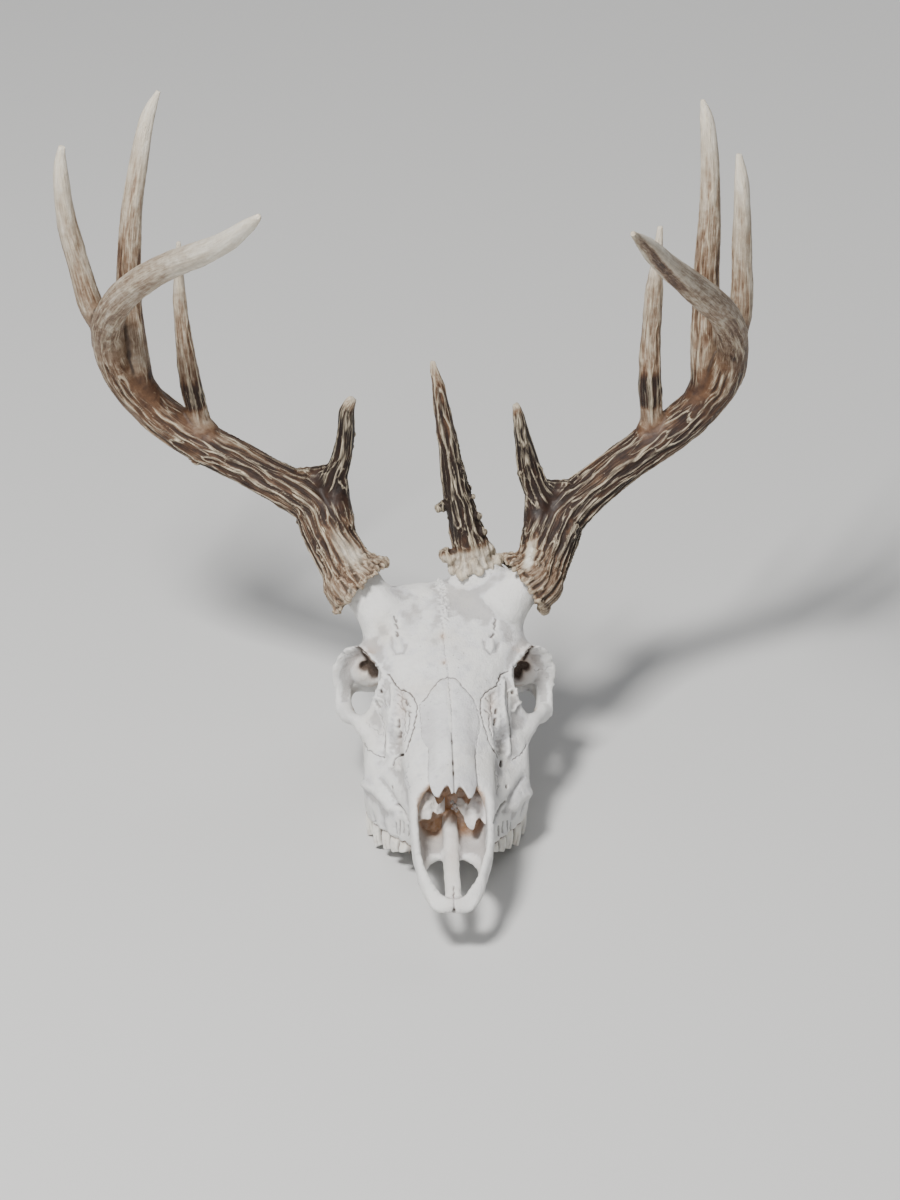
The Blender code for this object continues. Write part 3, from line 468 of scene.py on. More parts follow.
TINES_LEFT = {
    "brow": ((62.5, 215, 130, 7.0), (49, 221, 156, 7.2), (43.7, 220.5, 177.5, 5.0), (40.6, 219.5, 194.5, 3.5),
             (38.8, 219, 203, 2.2)),
    "second": ((116.4, 237, 173.5, 6.0), (114, 238, 200, 6.7), (113.6, 239, 232.5, 5.8),
               (115, 238.7, 267.5, 4.7), (117, 240, 299.5, 1.6)),
    "third": ((143, 238.7, 193.5, 6.8), (143.6, 239.3, 226, 8.0), (143.2, 239, 277.5, 7.1),
              (144, 240.7, 314.5, 6.0), (142, 245.7, 353.5, 4.3), (138.8, 249, 370, 1.4)),
    "fourth": ((157, 225.5, 229, 5.4), (161.4, 224, 256.5, 6.7), (161, 225, 291.5, 5.7),
               (160, 225.7, 326, 4.3), (157.7, 226.5, 347, 1.6))}
THIRD_BEAM = ((17, 206, 111, 11.5), (15, 206.5, 121, 10.4), (11.3, 208, 135, 9.2), (5, 208, 162, 7.2),
              (0, 208.8, 192, 5.4), (-4.6, 208.3, 219, 3.6), (-8, 208.3, 233, 1.4))


def stump(stations, wider=-6.5):
    """The pedicle: bone in line with the antler that stands on it."""
    foot, above = Vector(stations[0][:3]), Vector(stations[2][:3])
    heading = (above - foot).normalized()
    radius = stations[0][3] + wider
    return pipe([(*(foot + heading * s), radius + w) for s, w in ((-24, 3.5), (-15, 1.2), (-9, 0), (3, 0))])


# %% [markdown]
# ## The bone itself
# All forms are melted into one skin, hollows are cut where the photo looks into the skull, and the
# result is melted once more so that the cut edges are as soft as weathered bone.

# %% Hollows
CAVITY_STATIONS = (5, 10, 18, 30, 42, 52, 60, 65, 68.5, 74, 84, 96, 110)
CAVITY_FLOOR_Z = ((6, 6), (12, 5.8), (30, 7.6), (46, 9.5), (70, 11), (112, 16))
CAVITY_HALF = ((5, 3), (10, 8.5), (18, 13.8), (30, 16.6), (42, 17.6), (66, 17.6), (96, 15), (112, 9))
CAVITY_TOP_HALF = ((5, 1), (52, 1), (60, 0.92), (65, 0.72), (68.5, 0.62), (110, 0.62))   # share of the above
CAVITY_OPEN_TO = 66.0
NASAL_Z = ((54, 47.5), (72, 54), (92, 61), (118, 68.3), (140, 75.5))


def nose_hollow():
    rings = []
    for y in CAVITY_STATIONS:
        floor, half, share = along(CAVITY_FLOOR_Z, y), along(CAVITY_HALF, y), along(CAVITY_TOP_HALF, y)
        roof = 70.0 if y < CAVITY_OPEN_TO else along(ROOF_Z, y) - 3.2
        middle = floor + (min(roof, 45) - floor) * 0.5
        rings.append(section(((0, floor), (half * 0.8, floor + 1), (half, middle), (half * share, roof - 3),
                              (0, roof)), y))
    return skin_over(rings)


def fissure(side, near=12.0, far=55.0, inner=4.2, outer=13.6, count=14):
    """Slit through the palate: straight inside, bowed outside."""
    outline = [(side * inner, near), (side * inner, far)]
    for i in range(1, count):
        a = math.pi * i / count
        outline.append((side * (inner + (outer - inner) * math.sin(a)),
                        (near + far) / 2 + (far - near) / 2 * math.cos(a)))
    return skin_over([[(x, y, z) for x, y in outline] for z in (-12, 24)])


NOSE_STRIP = ((14, 1.5, 7.8), (34, 3, 11.2), (55, 5, 15.5), (78, 7, 21.5), (106, 10, 28.0))   # back, low, top


def spine_hole():
    bm = bmesh.new()
    bmesh.ops.create_cone(bm, cap_ends=True, segments=24, radius1=10.5, radius2=10.5, depth=30)
    place = Matrix.Translation((0, 276, 37)) @ Matrix.Rotation(math.pi / 2, 4, "X")
    bmesh.ops.transform(bm, matrix=place, verts=bm.verts)
    return to_mesh(bm)


PALATE_HOLLOW = ((74, 9, 3), (84, 14, 6), (100, 17.5, 8), (125, 21, 9.5), (146, 21.5, 10.5), (165, 20, 12))


def palate_hollow():
    return skin_over([oval(y, half, -30, top, 3.0) for y, half, top in PALATE_HOLLOW])


def throat_hollow():
    return skin_over([oval(*numbers) for numbers in
                      ((150, 8.5, 2, 27), (160, 9.5, 2, 29), (172, 9.5, 2, 24), (186, 8.5, 2, 17))])


# %% Skull
def mirrored_form(form, side):
    """Centre and radii of an ellipsoid on one side of the head."""
    return (side * form[0][0], *form[0][1:]), form[1]


skull = gather("skull", [muzzle(), forehead(), *braincase(), pipe(smooth_line(CREST, 4)),
                         *paired_forms(-1), *paired_forms(1),
                         stump(BEAM_RIGHT), stump(BEAM_LEFT), stump(THIRD_BEAM, 3.5)])
FIRST_VOXEL, SKULL_VOXEL = 1.7, 2.05
remelt(skull, FIRST_VOXEL, 4)
SOCKET = ((46, 166, 58), (27, 17.5, 15.5), -math.radians(24))
SOCKET_FLOOR = ((33, 168, 36), (17, 14, 22), 0.0)
SOCKET_FILL = ((41, 184.5, 61), (12, 5.5, 14))    # closes the top of the back of each socket
sockets = [ball((side * SOCKET[0][0], *SOCKET[0][1:]), SOCKET[1], side * SOCKET[2]) for side in (-1, 1)]
carve(skull, sockets + [fissure(-1), fissure(1), palate_hollow(), spine_hole()])
socket_floors = [ball(*mirrored_form(SOCKET_FLOOR, side)) for side in (-1, 1)]
carve(skull, socket_floors + [nose_hollow(), throat_hollow()])
strip = skin_over([oval(back, 4.1, low, top, 3.4, middle=0.3) for back, low, top in NOSE_STRIP])
add_form(skull, strip)
for side in (-1, 1):
    add_form(skull, ball(*mirrored_form(SOCKET_FILL, side)))
remelt(skull, SKULL_VOXEL, 2)
print("skull:", len(skull.data.polygons), "faces")

# %% [markdown]
# The stumps meet the forehead in a soft saddle. Their root is smoothed more than the rest.

# %% Soft roots of the stumps
def near_points(points, centres, reach):
    """1 at the centres, fading to 0 at the reach."""
    nearest = np.min([np.linalg.norm(points - np.array(c), axis=1) for c in centres], axis=0)
    return 1 - fade(nearest, reach * 0.6, reach)


def relax(mesh, weights, passes):
    """Move vertices towards their neighbours, as far as their weights allow."""
    bm = bmesh.new()
    bm.from_mesh(mesh)
    bm.verts.ensure_lookup_table()
    for passing in range(passes):
        level = (passing + 1) / passes
        chosen = [bm.verts[i] for i in np.nonzero(weights >= level * 0.9)[0]]
        bmesh.ops.smooth_vert(bm, verts=chosen, factor=0.5, use_axis_x=True, use_axis_y=True, use_axis_z=True)
    bm.to_mesh(mesh)
    bm.free()


LEFT_CHEEK_OUT = 1.4    # the animal's left side of the nose is this much wider than the right
soft = places(skull.data)
bulge = fade(soft[:, 0], 6, 17) * fade(soft[:, 1], 22, 42) * (1 - fade(soft[:, 1], 74, 96))
soft[:, 0] += LEFT_CHEEK_OUT * bulge
move_to(skull.data, soft)
SADDLES = ((-33, 190, 92), (-43, 190, 88), (32, 188, 92), (43, 188, 88), (14, 198, 100), (22, 200, 98),
           (6, 199, 101), (-34, 214, 90), (34, 212, 90), (16, 216, 96))
relax(skull.data, near_points(places(skull.data), SADDLES, 22), 26)
print("stump roots smoothed")

# %% [markdown]
# ## Fine detail on the bone
# Sutures, small holes and ridges are a millimetre wide or less. They are listed by where they show
# in the photo. The mesh is subdivided only near them, and each vertex that the camera sees there is
# pushed in or out along its normal. A number from 0 to 1 is kept for the material, which darkens
# the bottom of a suture, and paints shade into holes, pits, gaps and recesses.
# Each entry: depth in mm (minus is raised), half width in pixels, darkness, raggedness, points.

# %% Details as seen in the photo
FOREHEAD_RIDGE = (-0.8, 4.0, 0.0, 1.5, ((437, 573), (442, 592), (444.5, 608), (444.5, 620)))
DETAILS = [
    # seams of the nose bridge with the forehead and the face
    (0.5, 0.6, 0.62, 0.7, ((419.5, 705), (425.7, 698), (432, 688.5), (440, 679.5), (448, 677), (455, 678.6),
                            (465, 688.8), (473, 699), (478, 710.5))),
    (0.4, 0.5, 0.42, 0.7, ((419.5, 705), (420.5, 722), (422, 739), (428, 744), (428.8, 756), (428, 779))),
    (0.4, 0.5, 0.42, 0.7, ((478, 710.5), (480.5, 726), (477, 739), (475.4, 759), (477.5, 779))),
    # middle seam of the nose bridge and its pits, the pits painted dark as shade
    (0.5, 0.5, 0.4, 0.6, ((448, 678), (450.5, 700), (452.3, 720), (453, 740), (453.2, 768))),
    (1.2, 1.1, 0.65, 0.8, ((452.2, 704), (452.6, 706.5))),
    (1.2, 1.1, 0.65, 0.8, ((452.3, 719), (452.6, 721))),
    (1.2, 1.2, 0.65, 0.8, ((453, 733), (453, 735.5))),
    # middle seam of the forehead, and the rough ridge at its top
    (0.3, 0.5, 0.3, 0.8, ((448, 677), (446, 660), (443.5, 640), (443, 626))),
    FOREHEAD_RIDGE,
    # sunken openings in front of the eyes, with painted shade on their edges and in the lattice in them
    (1.7, 3.6, 0.16, 0.9, ((400.5, 692), (402, 704), (402, 716), (400, 734), (396, 752))),
    (0.9, 0.6, 0.8, 0.75, ((388, 674), (393, 681), (398, 688), (404.3, 690), (410.7, 694.3), (414, 698.6),
                           (417, 705), (416, 715.7), (414, 724), (410.7, 737), (405, 752))),
    (1.7, 3.4, 0.16, 0.9, ((493, 694), (493, 708), (496, 722), (498, 738), (501.5, 752))),
    (0.9, 0.6, 0.8, 0.75, ((508, 671), (500.7, 675), (497, 686), (489, 690), (483.5, 695), (481, 701),
                           (480.4, 709.3), (484, 726.4), (490, 743), (498, 757))),
    (0.9, 0.55, 0.5, 0.8, ((397, 693), (404, 698), (410, 706))),
    (0.9, 0.55, 0.5, 0.8, ((397, 703), (403, 709), (411, 712))),
    (0.8, 0.55, 0.45, 0.8, ((402, 691), (400, 701), (404, 711), (403, 722), (406, 734))),
    (0.9, 0.7, 0.5, 0.6, ((410, 717), (408, 728), (403.5, 741))),
    (1.9, 1.1, 0.7, 1.0, ((397.8, 719), (396.8, 727))),
    (1.7, 1.0, 0.65, 1.0, ((398.4, 731), (396.6, 738))),
    (1.5, 1.2, 0.6, 0.9, ((404.5, 700), (406.5, 704))),
    (1.5, 1.1, 0.6, 0.9, ((408, 711), (409, 716))),
    (0.9, 0.55, 0.5, 0.8, ((486, 698), (492, 703), (493, 712))),
    (0.9, 0.6, 0.5, 0.8, ((484.5, 710), (490, 714), (489, 726), (493, 736))),
    (2.0, 1.3, 0.75, 0.35, ((497.4, 708.5), (497.4, 711.5))),
    (2.0, 1.4, 0.8, 0.35, ((497.4, 717.5), (497.4, 723.5))),
    (1.8, 1.0, 0.7, 0.35, ((495.6, 730.5), (495.6, 733.5))),
    # upright struts beside the openings
    (-1.9, 2.1, 0.0, 0.25, ((393.6, 686), (393, 705), (390, 726.4), (388.4, 753))),
    (0.6, 0.6, 0.5, 0.3, ((384.5, 699.6), (388.4, 708), (386.6, 726), (384.6, 748))),
    (-1.9, 2.1, 0.0, 0.25, ((502.3, 681), (501.8, 698.6), (504, 715.7), (506.4, 737), (508.4, 754))),
    (0.6, 0.6, 0.45, 0.3, ((508.5, 692), (508.4, 712), (511, 737))),
    # holes at the foot of the openings, painted dark as shade
    (2.6, 1.2, 0.95, 0.25, ((393, 764), (394.6, 758.6), (398, 755.4), (402, 754.8))),
    (-1.5, 3.0, 0.0, 0.3, ((398.4, 763), (398.4, 768.5))),
    (2.6, 1.4, 0.95, 0.25, ((502, 761), (501.5, 765.5))),
    # cheek seams and fine cracks
    (0.5, 0.55, 0.65, 1.0, ((364, 743.6), (368, 750), (372, 752), (376.4, 754.8), (380.7, 756.4),
                            (385, 757.5))),
    (0.5, 0.55, 0.65, 1.0, ((527, 744), (522, 753.2), (517, 757), (512, 760.7))),
    (0.25, 0.5, 0.35, 1.2, ((366, 722), (374, 729), (382, 735))),
    (0.25, 0.5, 0.3, 1.2, ((379, 712), (384, 724), (384, 736))),
    (0.25, 0.5, 0.35, 1.2, ((534.5, 670.7), (544.6, 669.6), (552, 666))),
    (0.25, 0.5, 0.25, 1.2, ((341, 650), (346, 655), (352, 655))),
    (0.25, 0.5, 0.3, 1.4, ((409, 762), (406, 778), (411, 792))),
    (0.25, 0.5, 0.3, 1.4, ((495, 770), (499, 783), (497, 795))),
    # small holes of the upper jaw, and the slit under each cheek, painted dark as shade
    (1.4, 1.0, 0.85, 0.2, ((391.3, 785.8), (391.5, 787.4))),
    (1.4, 1.0, 0.85, 0.2, ((507, 785.8), (507.2, 787.4))),
    (3.6, 1.4, 0.95, 0.2, ((395, 805), (400, 808.7), (404.8, 815))),
    (1.6, 1.1, 0.6, 0.3, ((404.8, 815), (408, 822.3))),
    (3.6, 1.4, 0.95, 0.2, ((507, 802), (503, 806), (499, 812))),
    (1.6, 1.1, 0.6, 0.3, ((499, 812), (496, 817), (494.5, 823))),
    # the cheek's slanting crest and the valley beside the nose
    (-1.9, 4.0, 0.0, 0.1, ((364, 784), (373, 790), (383, 799), (390, 808))),
    (2.0, 3.6, 0.0, 0.1, ((380, 778), (387, 788), (392.5, 799), (398, 812))),
    (-1.9, 4.0, 0.0, 0.1, ((541, 784), (532, 790), (521, 799), (514, 808))),
    (2.0, 3.6, 0.0, 0.1, ((524, 778), (517, 788), (511.5, 799), (506, 812))),
    # gaps between the bared roots of the front teeth, and the arches over the molars, painted dark as shade
    (0.8, 0.7, 0.4, 0.25, ((395.0, 823), (395.6, 834))),
    (1.1, 0.8, 0.5, 0.25, ((399.2, 821), (399.8, 835))),
    (0.8, 0.7, 0.4, 0.25, ((403.0, 822), (403.2, 833))),
    (1.1, 0.8, 0.5, 0.25, ((408.2, 826), (408.4, 836))),
    (0.6, 0.6, 0.6, 0.4, ((371, 822.5), (375, 821.6), (379, 825.5), (380.6, 830))),
    (0.8, 0.7, 0.4, 0.25, ((512.0, 823), (511.4, 834))),
    (1.1, 0.8, 0.5, 0.25, ((507.8, 821), (507.2, 835))),
    (0.8, 0.7, 0.4, 0.25, ((504.0, 822), (503.8, 833))),
    (1.1, 0.8, 0.5, 0.25, ((498.9, 826), (498.7, 836))),
    (0.6, 0.6, 0.6, 0.4, ((536, 822.5), (532, 821.6), (528, 825.5), (526.4, 830))),
    # grooves and holes over the eyes, their bottoms painted dark as shade
    (1.5, 1.2, 0.5, 0.9, ((394.2, 617.5), (396.4, 621))),
    (1.6, 1.2, 0.55, 0.9, ((395.5, 624), (398, 628))),
    (1.5, 1.2, 0.6, 0.9, ((396.6, 632), (397.4, 636))),
    (0.9, 2.2, 0.1, 0.3, ((391.5, 638), (391.5, 647), (396, 653.5), (403, 652), (406, 645))),
    (-1.0, 2.4, 0.0, 0.3, ((398.5, 640), (399.5, 646))),
    (1.5, 1.2, 0.5, 0.9, ((495, 620), (494.6, 628.5))),
    (1.5, 1.2, 0.6, 0.9, ((491.4, 637), (493.8, 633.5))),
    (0.9, 2.2, 0.1, 0.3, ((484.5, 642), (485.5, 649), (490.5, 653), (497, 650.5), (499.5, 643))),
    (-1.0, 2.4, 0.0, 0.3, ((491.6, 641), (492.4, 646))),
    # old stains' pits on the middle line
    (0.5, 1.4, 0.3, 0.8, ((442.3, 634.5), (442.8, 637))),
    (0.5, 1.3, 0.3, 0.8, ((444, 661.5), (444, 663.5))),
    # deep recesses at the back of the eye sockets, painted near-black as shade
    (3.4, 6.0, 0.95, 0.2, ((364.5, 667.5), (368, 666.5), (371.5, 669), (375.5, 675))),
    (1.0, 2.1, 0.9, 0.3, ((356, 645.5), (362, 651), (368, 660))),
    (3.4, 5.0, 0.95, 0.2, ((526, 667.5), (521.5, 666.5), (518.5, 670), (517.5, 676))),
    (1.0, 2.0, 0.9, 0.3, ((533, 646), (528, 651), (524, 660))),
    # hooks inside the front of the eye sockets, the hole in one and the hollow beside it painted dark as
    # shade
    (-1.3, 1.3, 0.0, 0.2, ((379, 693), (379, 689), (382, 687.5), (384, 690))),
    (1.6, 1.2, 0.8, 0.2, ((381.3, 691), (381.6, 692))),
    (-1.2, 1.2, 0.0, 0.2, ((369, 698.5), (376, 697.5), (384, 701), (389, 707), (391, 714))),
    (1.2, 1.8, 0.35, 0.4, ((376, 702), (379, 707))),
    (-1.3, 1.3, 0.0, 0.2, ((509, 691), (512, 688.5), (515.5, 690), (516, 694))),
    (1.6, 1.2, 0.8, 0.2, ((512.5, 692), (512.7, 693))),
    (-1.2, 1.2, 0.0, 0.2, ((527, 704), (521, 702), (516, 705), (513, 711))),
    # the two front bones meet in a seam and a small hole at the tip of the nose, the hole painted dark as
    # shade
    (2.4, 1.6, 0.95, 0.3, ((454.2, 910.5), (454.2, 912.5))),
    (0.8, 0.7, 0.6, 0.5, ((453.6, 886), (453.6, 900), (454, 907), (454, 916))),
]

# %% Refining the mesh near the details
SHAKE = 0.32            # cycles of raggedness in a pixel
ROWS = (560, 925)       # rows of the photo between which all details lie
FLAT_FROM = 4.5         # details with a larger half width than this have a flat bottom


def to_details(pixels, which, shake):
    """Distance in pixels from points to one detail's line, ragged by its own amount."""
    ragged, line = DETAILS[which][3], DETAILS[which][4]
    spots = pixels + shake * ragged
    best = np.full(len(spots), 1e9)
    for (ax, ay), (bx, by) in zip(line, line[1:]):
        a, step = np.array((ax, ay)), np.array((bx - ax, by - ay))
        t = np.clip((spots - a) @ step / (step @ step), 0, 1)
        best = np.minimum(best, np.linalg.norm(spots - a - t[:, None] * step, axis=1))
    return best


def shaking(pixels):
    flat = [Vector((x, y, 0)) * SHAKE for x, y in pixels]
    return np.array([(noise.noise(p), noise.noise(p + Vector((0, 0, 7.3)))) for p in flat]) * 1.5


def refine(mesh, reach):
    """Cut the edges of faces near a detail in two."""
    bm = bmesh.new()
    bm.from_mesh(mesh)
    bm.faces.ensure_lookup_table()
    centres = np.array([f.calc_center_median() for f in bm.faces])
    facing = np.array([f.normal for f in bm.faces]) @ VIEW < 0.15
    pixels = photo_place(centres)
    likely = np.nonzero(facing & (pixels[:, 1] > ROWS[0]) & (pixels[:, 1] < ROWS[1]))[0]
    near = np.zeros(len(likely), bool)
    shake = shaking(pixels[likely])
    for k, (_, half, _, _, _) in enumerate(DETAILS):
        wide = half if half > FLAT_FROM else min(half * 1.8, 3.5)
        near |= to_details(pixels[likely], k, shake) < wide + reach
    edges = {edge for i in likely[near] for edge in bm.faces[i].edges}
    bmesh.ops.subdivide_edges(bm, edges=list(edges), cuts=1, use_grid_fill=True, smooth=0.0)
    bm.to_mesh(mesh)
    bm.free()


refine(skull.data, 1.2)
refine(skull.data, 0.3)
print("skull refined:", len(skull.data.polygons), "faces")

# %% [markdown]
# ## Pressing the details in
# Only what the camera sees is changed, so that a seam on the nose bridge doesn't reach the palate
# under it. Roots of the teeth make soft upright ridges along the jaw, and the jaw's rim draws back
# from the crowns; both are added for both sides in the same pass.

# %% Pressing
# Each tooth: distance back, middle X, length, width, crown tip and number of lobes.
TEETH = ((84.0, 21.4, 9.6, 8.4, -4.0, 1), (94.0, 25.0, 10.0, 10.2, -9.5, 1),
         (104.2, 28.6, 10.4, 11.6, -13.0, 1), (116.0, 32.4, 12.8, 13.6, -16.2, 2),
         (130.2, 35.4, 14.6, 14.6, -16.2, 2), (144.4, 35.0, 13.6, 14.0, -14.6, 2))
ROOTS = [(back + length * ((i + 0.5) / lobes - 0.5), length / lobes)
         for back, middle, length, width, tip, lobes in TEETH for i in range(lobes)]


def press_details(made):
    mesh = made.data
    points, outward = places(mesh), directions(mesh)
    pixels = photo_place(points)
    view = np.array(VIEW)
    candidates = np.nonzero((outward @ view < 0.1) & (pixels[:, 1] > ROWS[0]) & (pixels[:, 1] < ROWS[1]))[0]
    tree = BVHTree.FromPolygons([tuple(p) for p in points], [tuple(f.vertices) for f in mesh.polygons])
    shake = shaking(pixels[candidates])
    press, dark = np.zeros(len(candidates)), np.zeros(len(candidates))
    for k, (depth, half, darkness, _, _) in enumerate(DETAILS):
        near = np.exp(-(to_details(pixels[candidates], k, shake) / half) ** (6 if half > FLAT_FROM else 2))
        press += depth * near
        dark = np.maximum(dark, darkness * near)
    seen = np.ones(len(candidates), bool)
    for j in np.nonzero((np.abs(press) > 0.02) | (dark > 0.02))[0]:
        start = Vector(points[candidates[j]] - view * 2.5)
        seen[j] = tree.ray_cast(start, Vector(-view))[0] is None
    total, groove_and_shade = np.zeros(len(points)), np.zeros(len(points))
    total[candidates] = np.where(seen, press, 0)
    groove_and_shade[candidates] = np.where(seen, dark, 0)
    x, y, z = points.T
    jaw = (fade(np.abs(x), 20, 26) * (1 - fade(z, 2, 18)) * fade(z, -9, -5) * fade(y, 78, 84)
           * (1 - fade(y, 148, 154)))
    ribs = np.max([np.exp(-((y - centre) / (length * 0.33)) ** 2) for centre, length in ROOTS], axis=0)
    total -= jaw * (ribs - 0.55) * 1.9 * (np.abs(outward[:, 0]) > 0.3)
    gum = np.interp(y, (84, 104, 120, 150), (1.8, 0.0, -1.8, -2.6)) + 1.8 * (ribs - 0.5)
    rim = fade(np.abs(x), 17, 22) * fade(y, 77, 82) * (1 - fade(y, 152, 157)) * fade(z, gum, gum - 2)
    total += rim * 2.7 * (outward[:, 0] * np.sign(x) > -0.2)
    return points - outward * total[:, None], groove_and_shade


def cavity(points, mesh, passes=6, gain=1.2):
    """How hollow the surface is at each vertex: 0.5 flat, 1 hollow, 0 on an edge."""
    ends = np.empty(len(mesh.edges) * 2, int)
    mesh.edges.foreach_get("vertices", ends)
    a, b = ends.reshape(-1, 2).T
    count = np.bincount(a, minlength=len(points)) + np.bincount(b, minlength=len(points))
    soft = points.copy()
    for _ in range(passes):
        total = np.zeros_like(soft)
        for axis in range(3):
            total[:, axis] = (np.bincount(a, soft[b, axis], len(points))
                              + np.bincount(b, soft[a, axis], len(points)))
        soft = total / np.maximum(count, 1)[:, None]
    return np.clip(0.5 + np.einsum("ij,ij->i", soft - points, directions(mesh)) * gain, 0, 1)


bone_points, bone_groove_and_shade = press_details(skull)
bone_points += directions(skull.data) * rough(bone_points, 9.0, 3)[:, None] * 0.5
unshaken = np.zeros((len(bone_points), 2))
from_ridge = to_details(photo_place(bone_points), DETAILS.index(FOREHEAD_RIDGE), unshaken)
grain_band = np.exp(-(from_ridge / 4.5) ** 2)
grain_band *= bone_points[:, 2] > 80
bone_points += directions(skull.data) * (rough(bone_points, 1.7, 2, 3.1) * grain_band)[:, None] * 1.5
move_to(skull.data, bone_points)
print("details pressed in; deepest colour", round(float(bone_groove_and_shade.max()), 2))

# %% [markdown]
# ## Stains and painted shade
# Tan and brown are painted where shade falls: inside the nose, browner the deeper it goes, and in
# the depth of the eye sockets. The hollows are painted darker as shade too. A few spots are real stains.

# %% Stain and painted-shade masks of the bone
# Pixel, half width and height in pixels, strength, and how high and how far back it must lie.
# The spots at the back of the eye sockets and the one deep in the nose are painted shadow; the two on the
# middle line are old stains.
STAIN_SPOTS = ((442.5, 636, 3.4, 4.0, 0.42, 70, 0), (444, 662.5, 3.2, 3.4, 0.42, 60, 0),
               (368, 664, 13, 15, 0.5, 46, 168), (521, 664, 13, 15, 0.5, 46, 168),
               (402, 705, 6, 16, 0.28, 30, 0), (491, 706, 6, 16, 0.28, 30, 0), (400, 740, 4, 10, 0.2, 30, 0),
               (448, 793, 5, 7, 1.0, 0, 70), (452.5, 855, 6.5, 50, 0.2, -50, 0),
               (437, 690, 10, 8, 0.12, 50, 0), (413, 690, 9, 8, 0.12, 50, 0),
               (425, 690, 30, 10, 0.10, 55, 0))


def near_ball(points, form, reach):
    """1 on the surface of a turned ellipsoid, 0 beyond the reach."""
    centre, radii, turn = form
    away = (points - np.array(centre)) @ np.array(Matrix.Rotation(turn, 3, "Z"))
    gap = np.abs(np.linalg.norm(away / np.array(radii), axis=1) - 1) * min(radii)
    return 1 - fade(gap, reach * 0.5, reach)


def bone_stain_and_shade(points, outward):
    x, y, z = points.T
    px = photo_place(points)
    floor = np.interp(y, *zip(*CAVITY_FLOOR_Z))
    half = np.interp(y, *zip(*CAVITY_HALF))
    roof = np.interp(y, *zip(*NASAL_Z)) - 2
    to_axis = np.stack((-x, np.zeros(len(x)), (floor + roof) / 2 - z), axis=1)
    inwards = fade(np.einsum("ij,ij->i", outward, to_axis) / np.linalg.norm(to_axis, axis=1), 0.05, 0.3)
    inside = inwards * (np.abs(x) < half + 1.0) * (z > floor - 1.0) * (z < roof) * (y < 116)
    # Painted shade: tan inside the nose, more of it towards the back and on the walls above the floor.
    nose = inside * np.maximum(0.06 + 0.84 * fade(y, 66, 84), 0.7 * fade(z - floor, 11, 20) * fade(y, 56, 64))
    left_side = np.stack((np.abs(x), y, z), axis=1)
    # Painted shade in the depth of the eye sockets.
    socket = 0.35 * np.maximum(near_ball(left_side, SOCKET, 1.3) * (np.abs(x) < 43) * fade(y, 158, 172),
                               near_ball(left_side, SOCKET_FLOOR, 1.3))
    spots = [strength * np.exp(-((px[:, 0] - a) / wide) ** 2 - ((px[:, 1] - b) / high) ** 2)
             * (z > low) * (y > back) for a, b, wide, high, strength, low, back in STAIN_SPOTS]
    return np.clip(np.maximum.reduce([nose, socket, *spots]), 0, 1)


mark(skull.data, "groove_and_shade", bone_groove_and_shade)
mark(skull.data, "stain_and_shade", bone_stain_and_shade(bone_points, directions(skull.data)))
# Painted shade: the material darkens the bone in creases and hollows and lightens it on sharp edges.
bone_hollow_shade = cavity(bone_points, skull.data, 6, 2.0) + cavity(bone_points, skull.data, 36, 0.45) - 0.5
mark(skull.data, "cavity", np.clip(bone_hollow_shade, 0, 1))
print("bone stained")

# %% [markdown]
# ## Nasal bones
# The bridge of the nose is a pair of long thin bones. Behind, they end in a ragged seam with the
# forehead; in front, they stand free over the nose opening, each with two prongs. A grid is moved
# onto each bone's outline and gets its thickness from solidify. Where the face runs under it, the
# bone follows the face; in front it follows its own arch.

# %% Nasal bones
NASAL_MIDDLE = ((52, 1.3), (92, 1.1), (140, 0.6))
NASAL_OUTLINE = {
    "right": {"side": ((66, -12.1), (70, -12.4), (83, -11.6), (91, -11.8), (98, -14.9), (112, -15.3),
                       (127, -15.4)),
              "front": ((0, 55), (0.1, 54.5), (0.27, 59.6), (0.64, 54), (0.85, 58), (1, 67)),
              "back": ((0, 139.3), (0.3, 137.3), (0.58, 132.1), (0.8, 127.4), (1, 126))},
    "left": {"side": ((66, 14), (69, 14.3), (82, 13.6), (91, 13.8), (98.5, 15), (111, 17.3), (122, 16.3)),
             "front": ((0, 55.5), (0.05, 54.6), (0.28, 59.3), (0.68, 55.2), (0.88, 60), (1, 67.8)),
             "back": ((0, 139.3), (0.24, 138.1), (0.58, 132.7), (0.84, 128), (1, 121.8))}}
NASAL_THICK = 1.7
NASAL_PITS = (68.0, 75.0, 90.5, 104.5, 112.0, 120.0)    # distance back of the pits in the middle seam


def nasal_height(x, y, tree):
    """The bone's own arch in front, the face under it behind."""
    half = float(np.interp(y, (54, 64, 92, 118, 140), (11, 12.5, 13.5, 16, 17)))
    own = along(NASAL_Z, y) - 5.2 * (abs(x) / half) ** 2.3
    hit = tree.ray_cast(Vector((x, y, 130)), Vector((0, 0, -1)))[0]
    ground = min(max(hit.z + 0.25 if hit else own, own - 1.2), own + 3)
    return own + (ground - own) * float(fade(np.array(y), 84.0, 98.0))


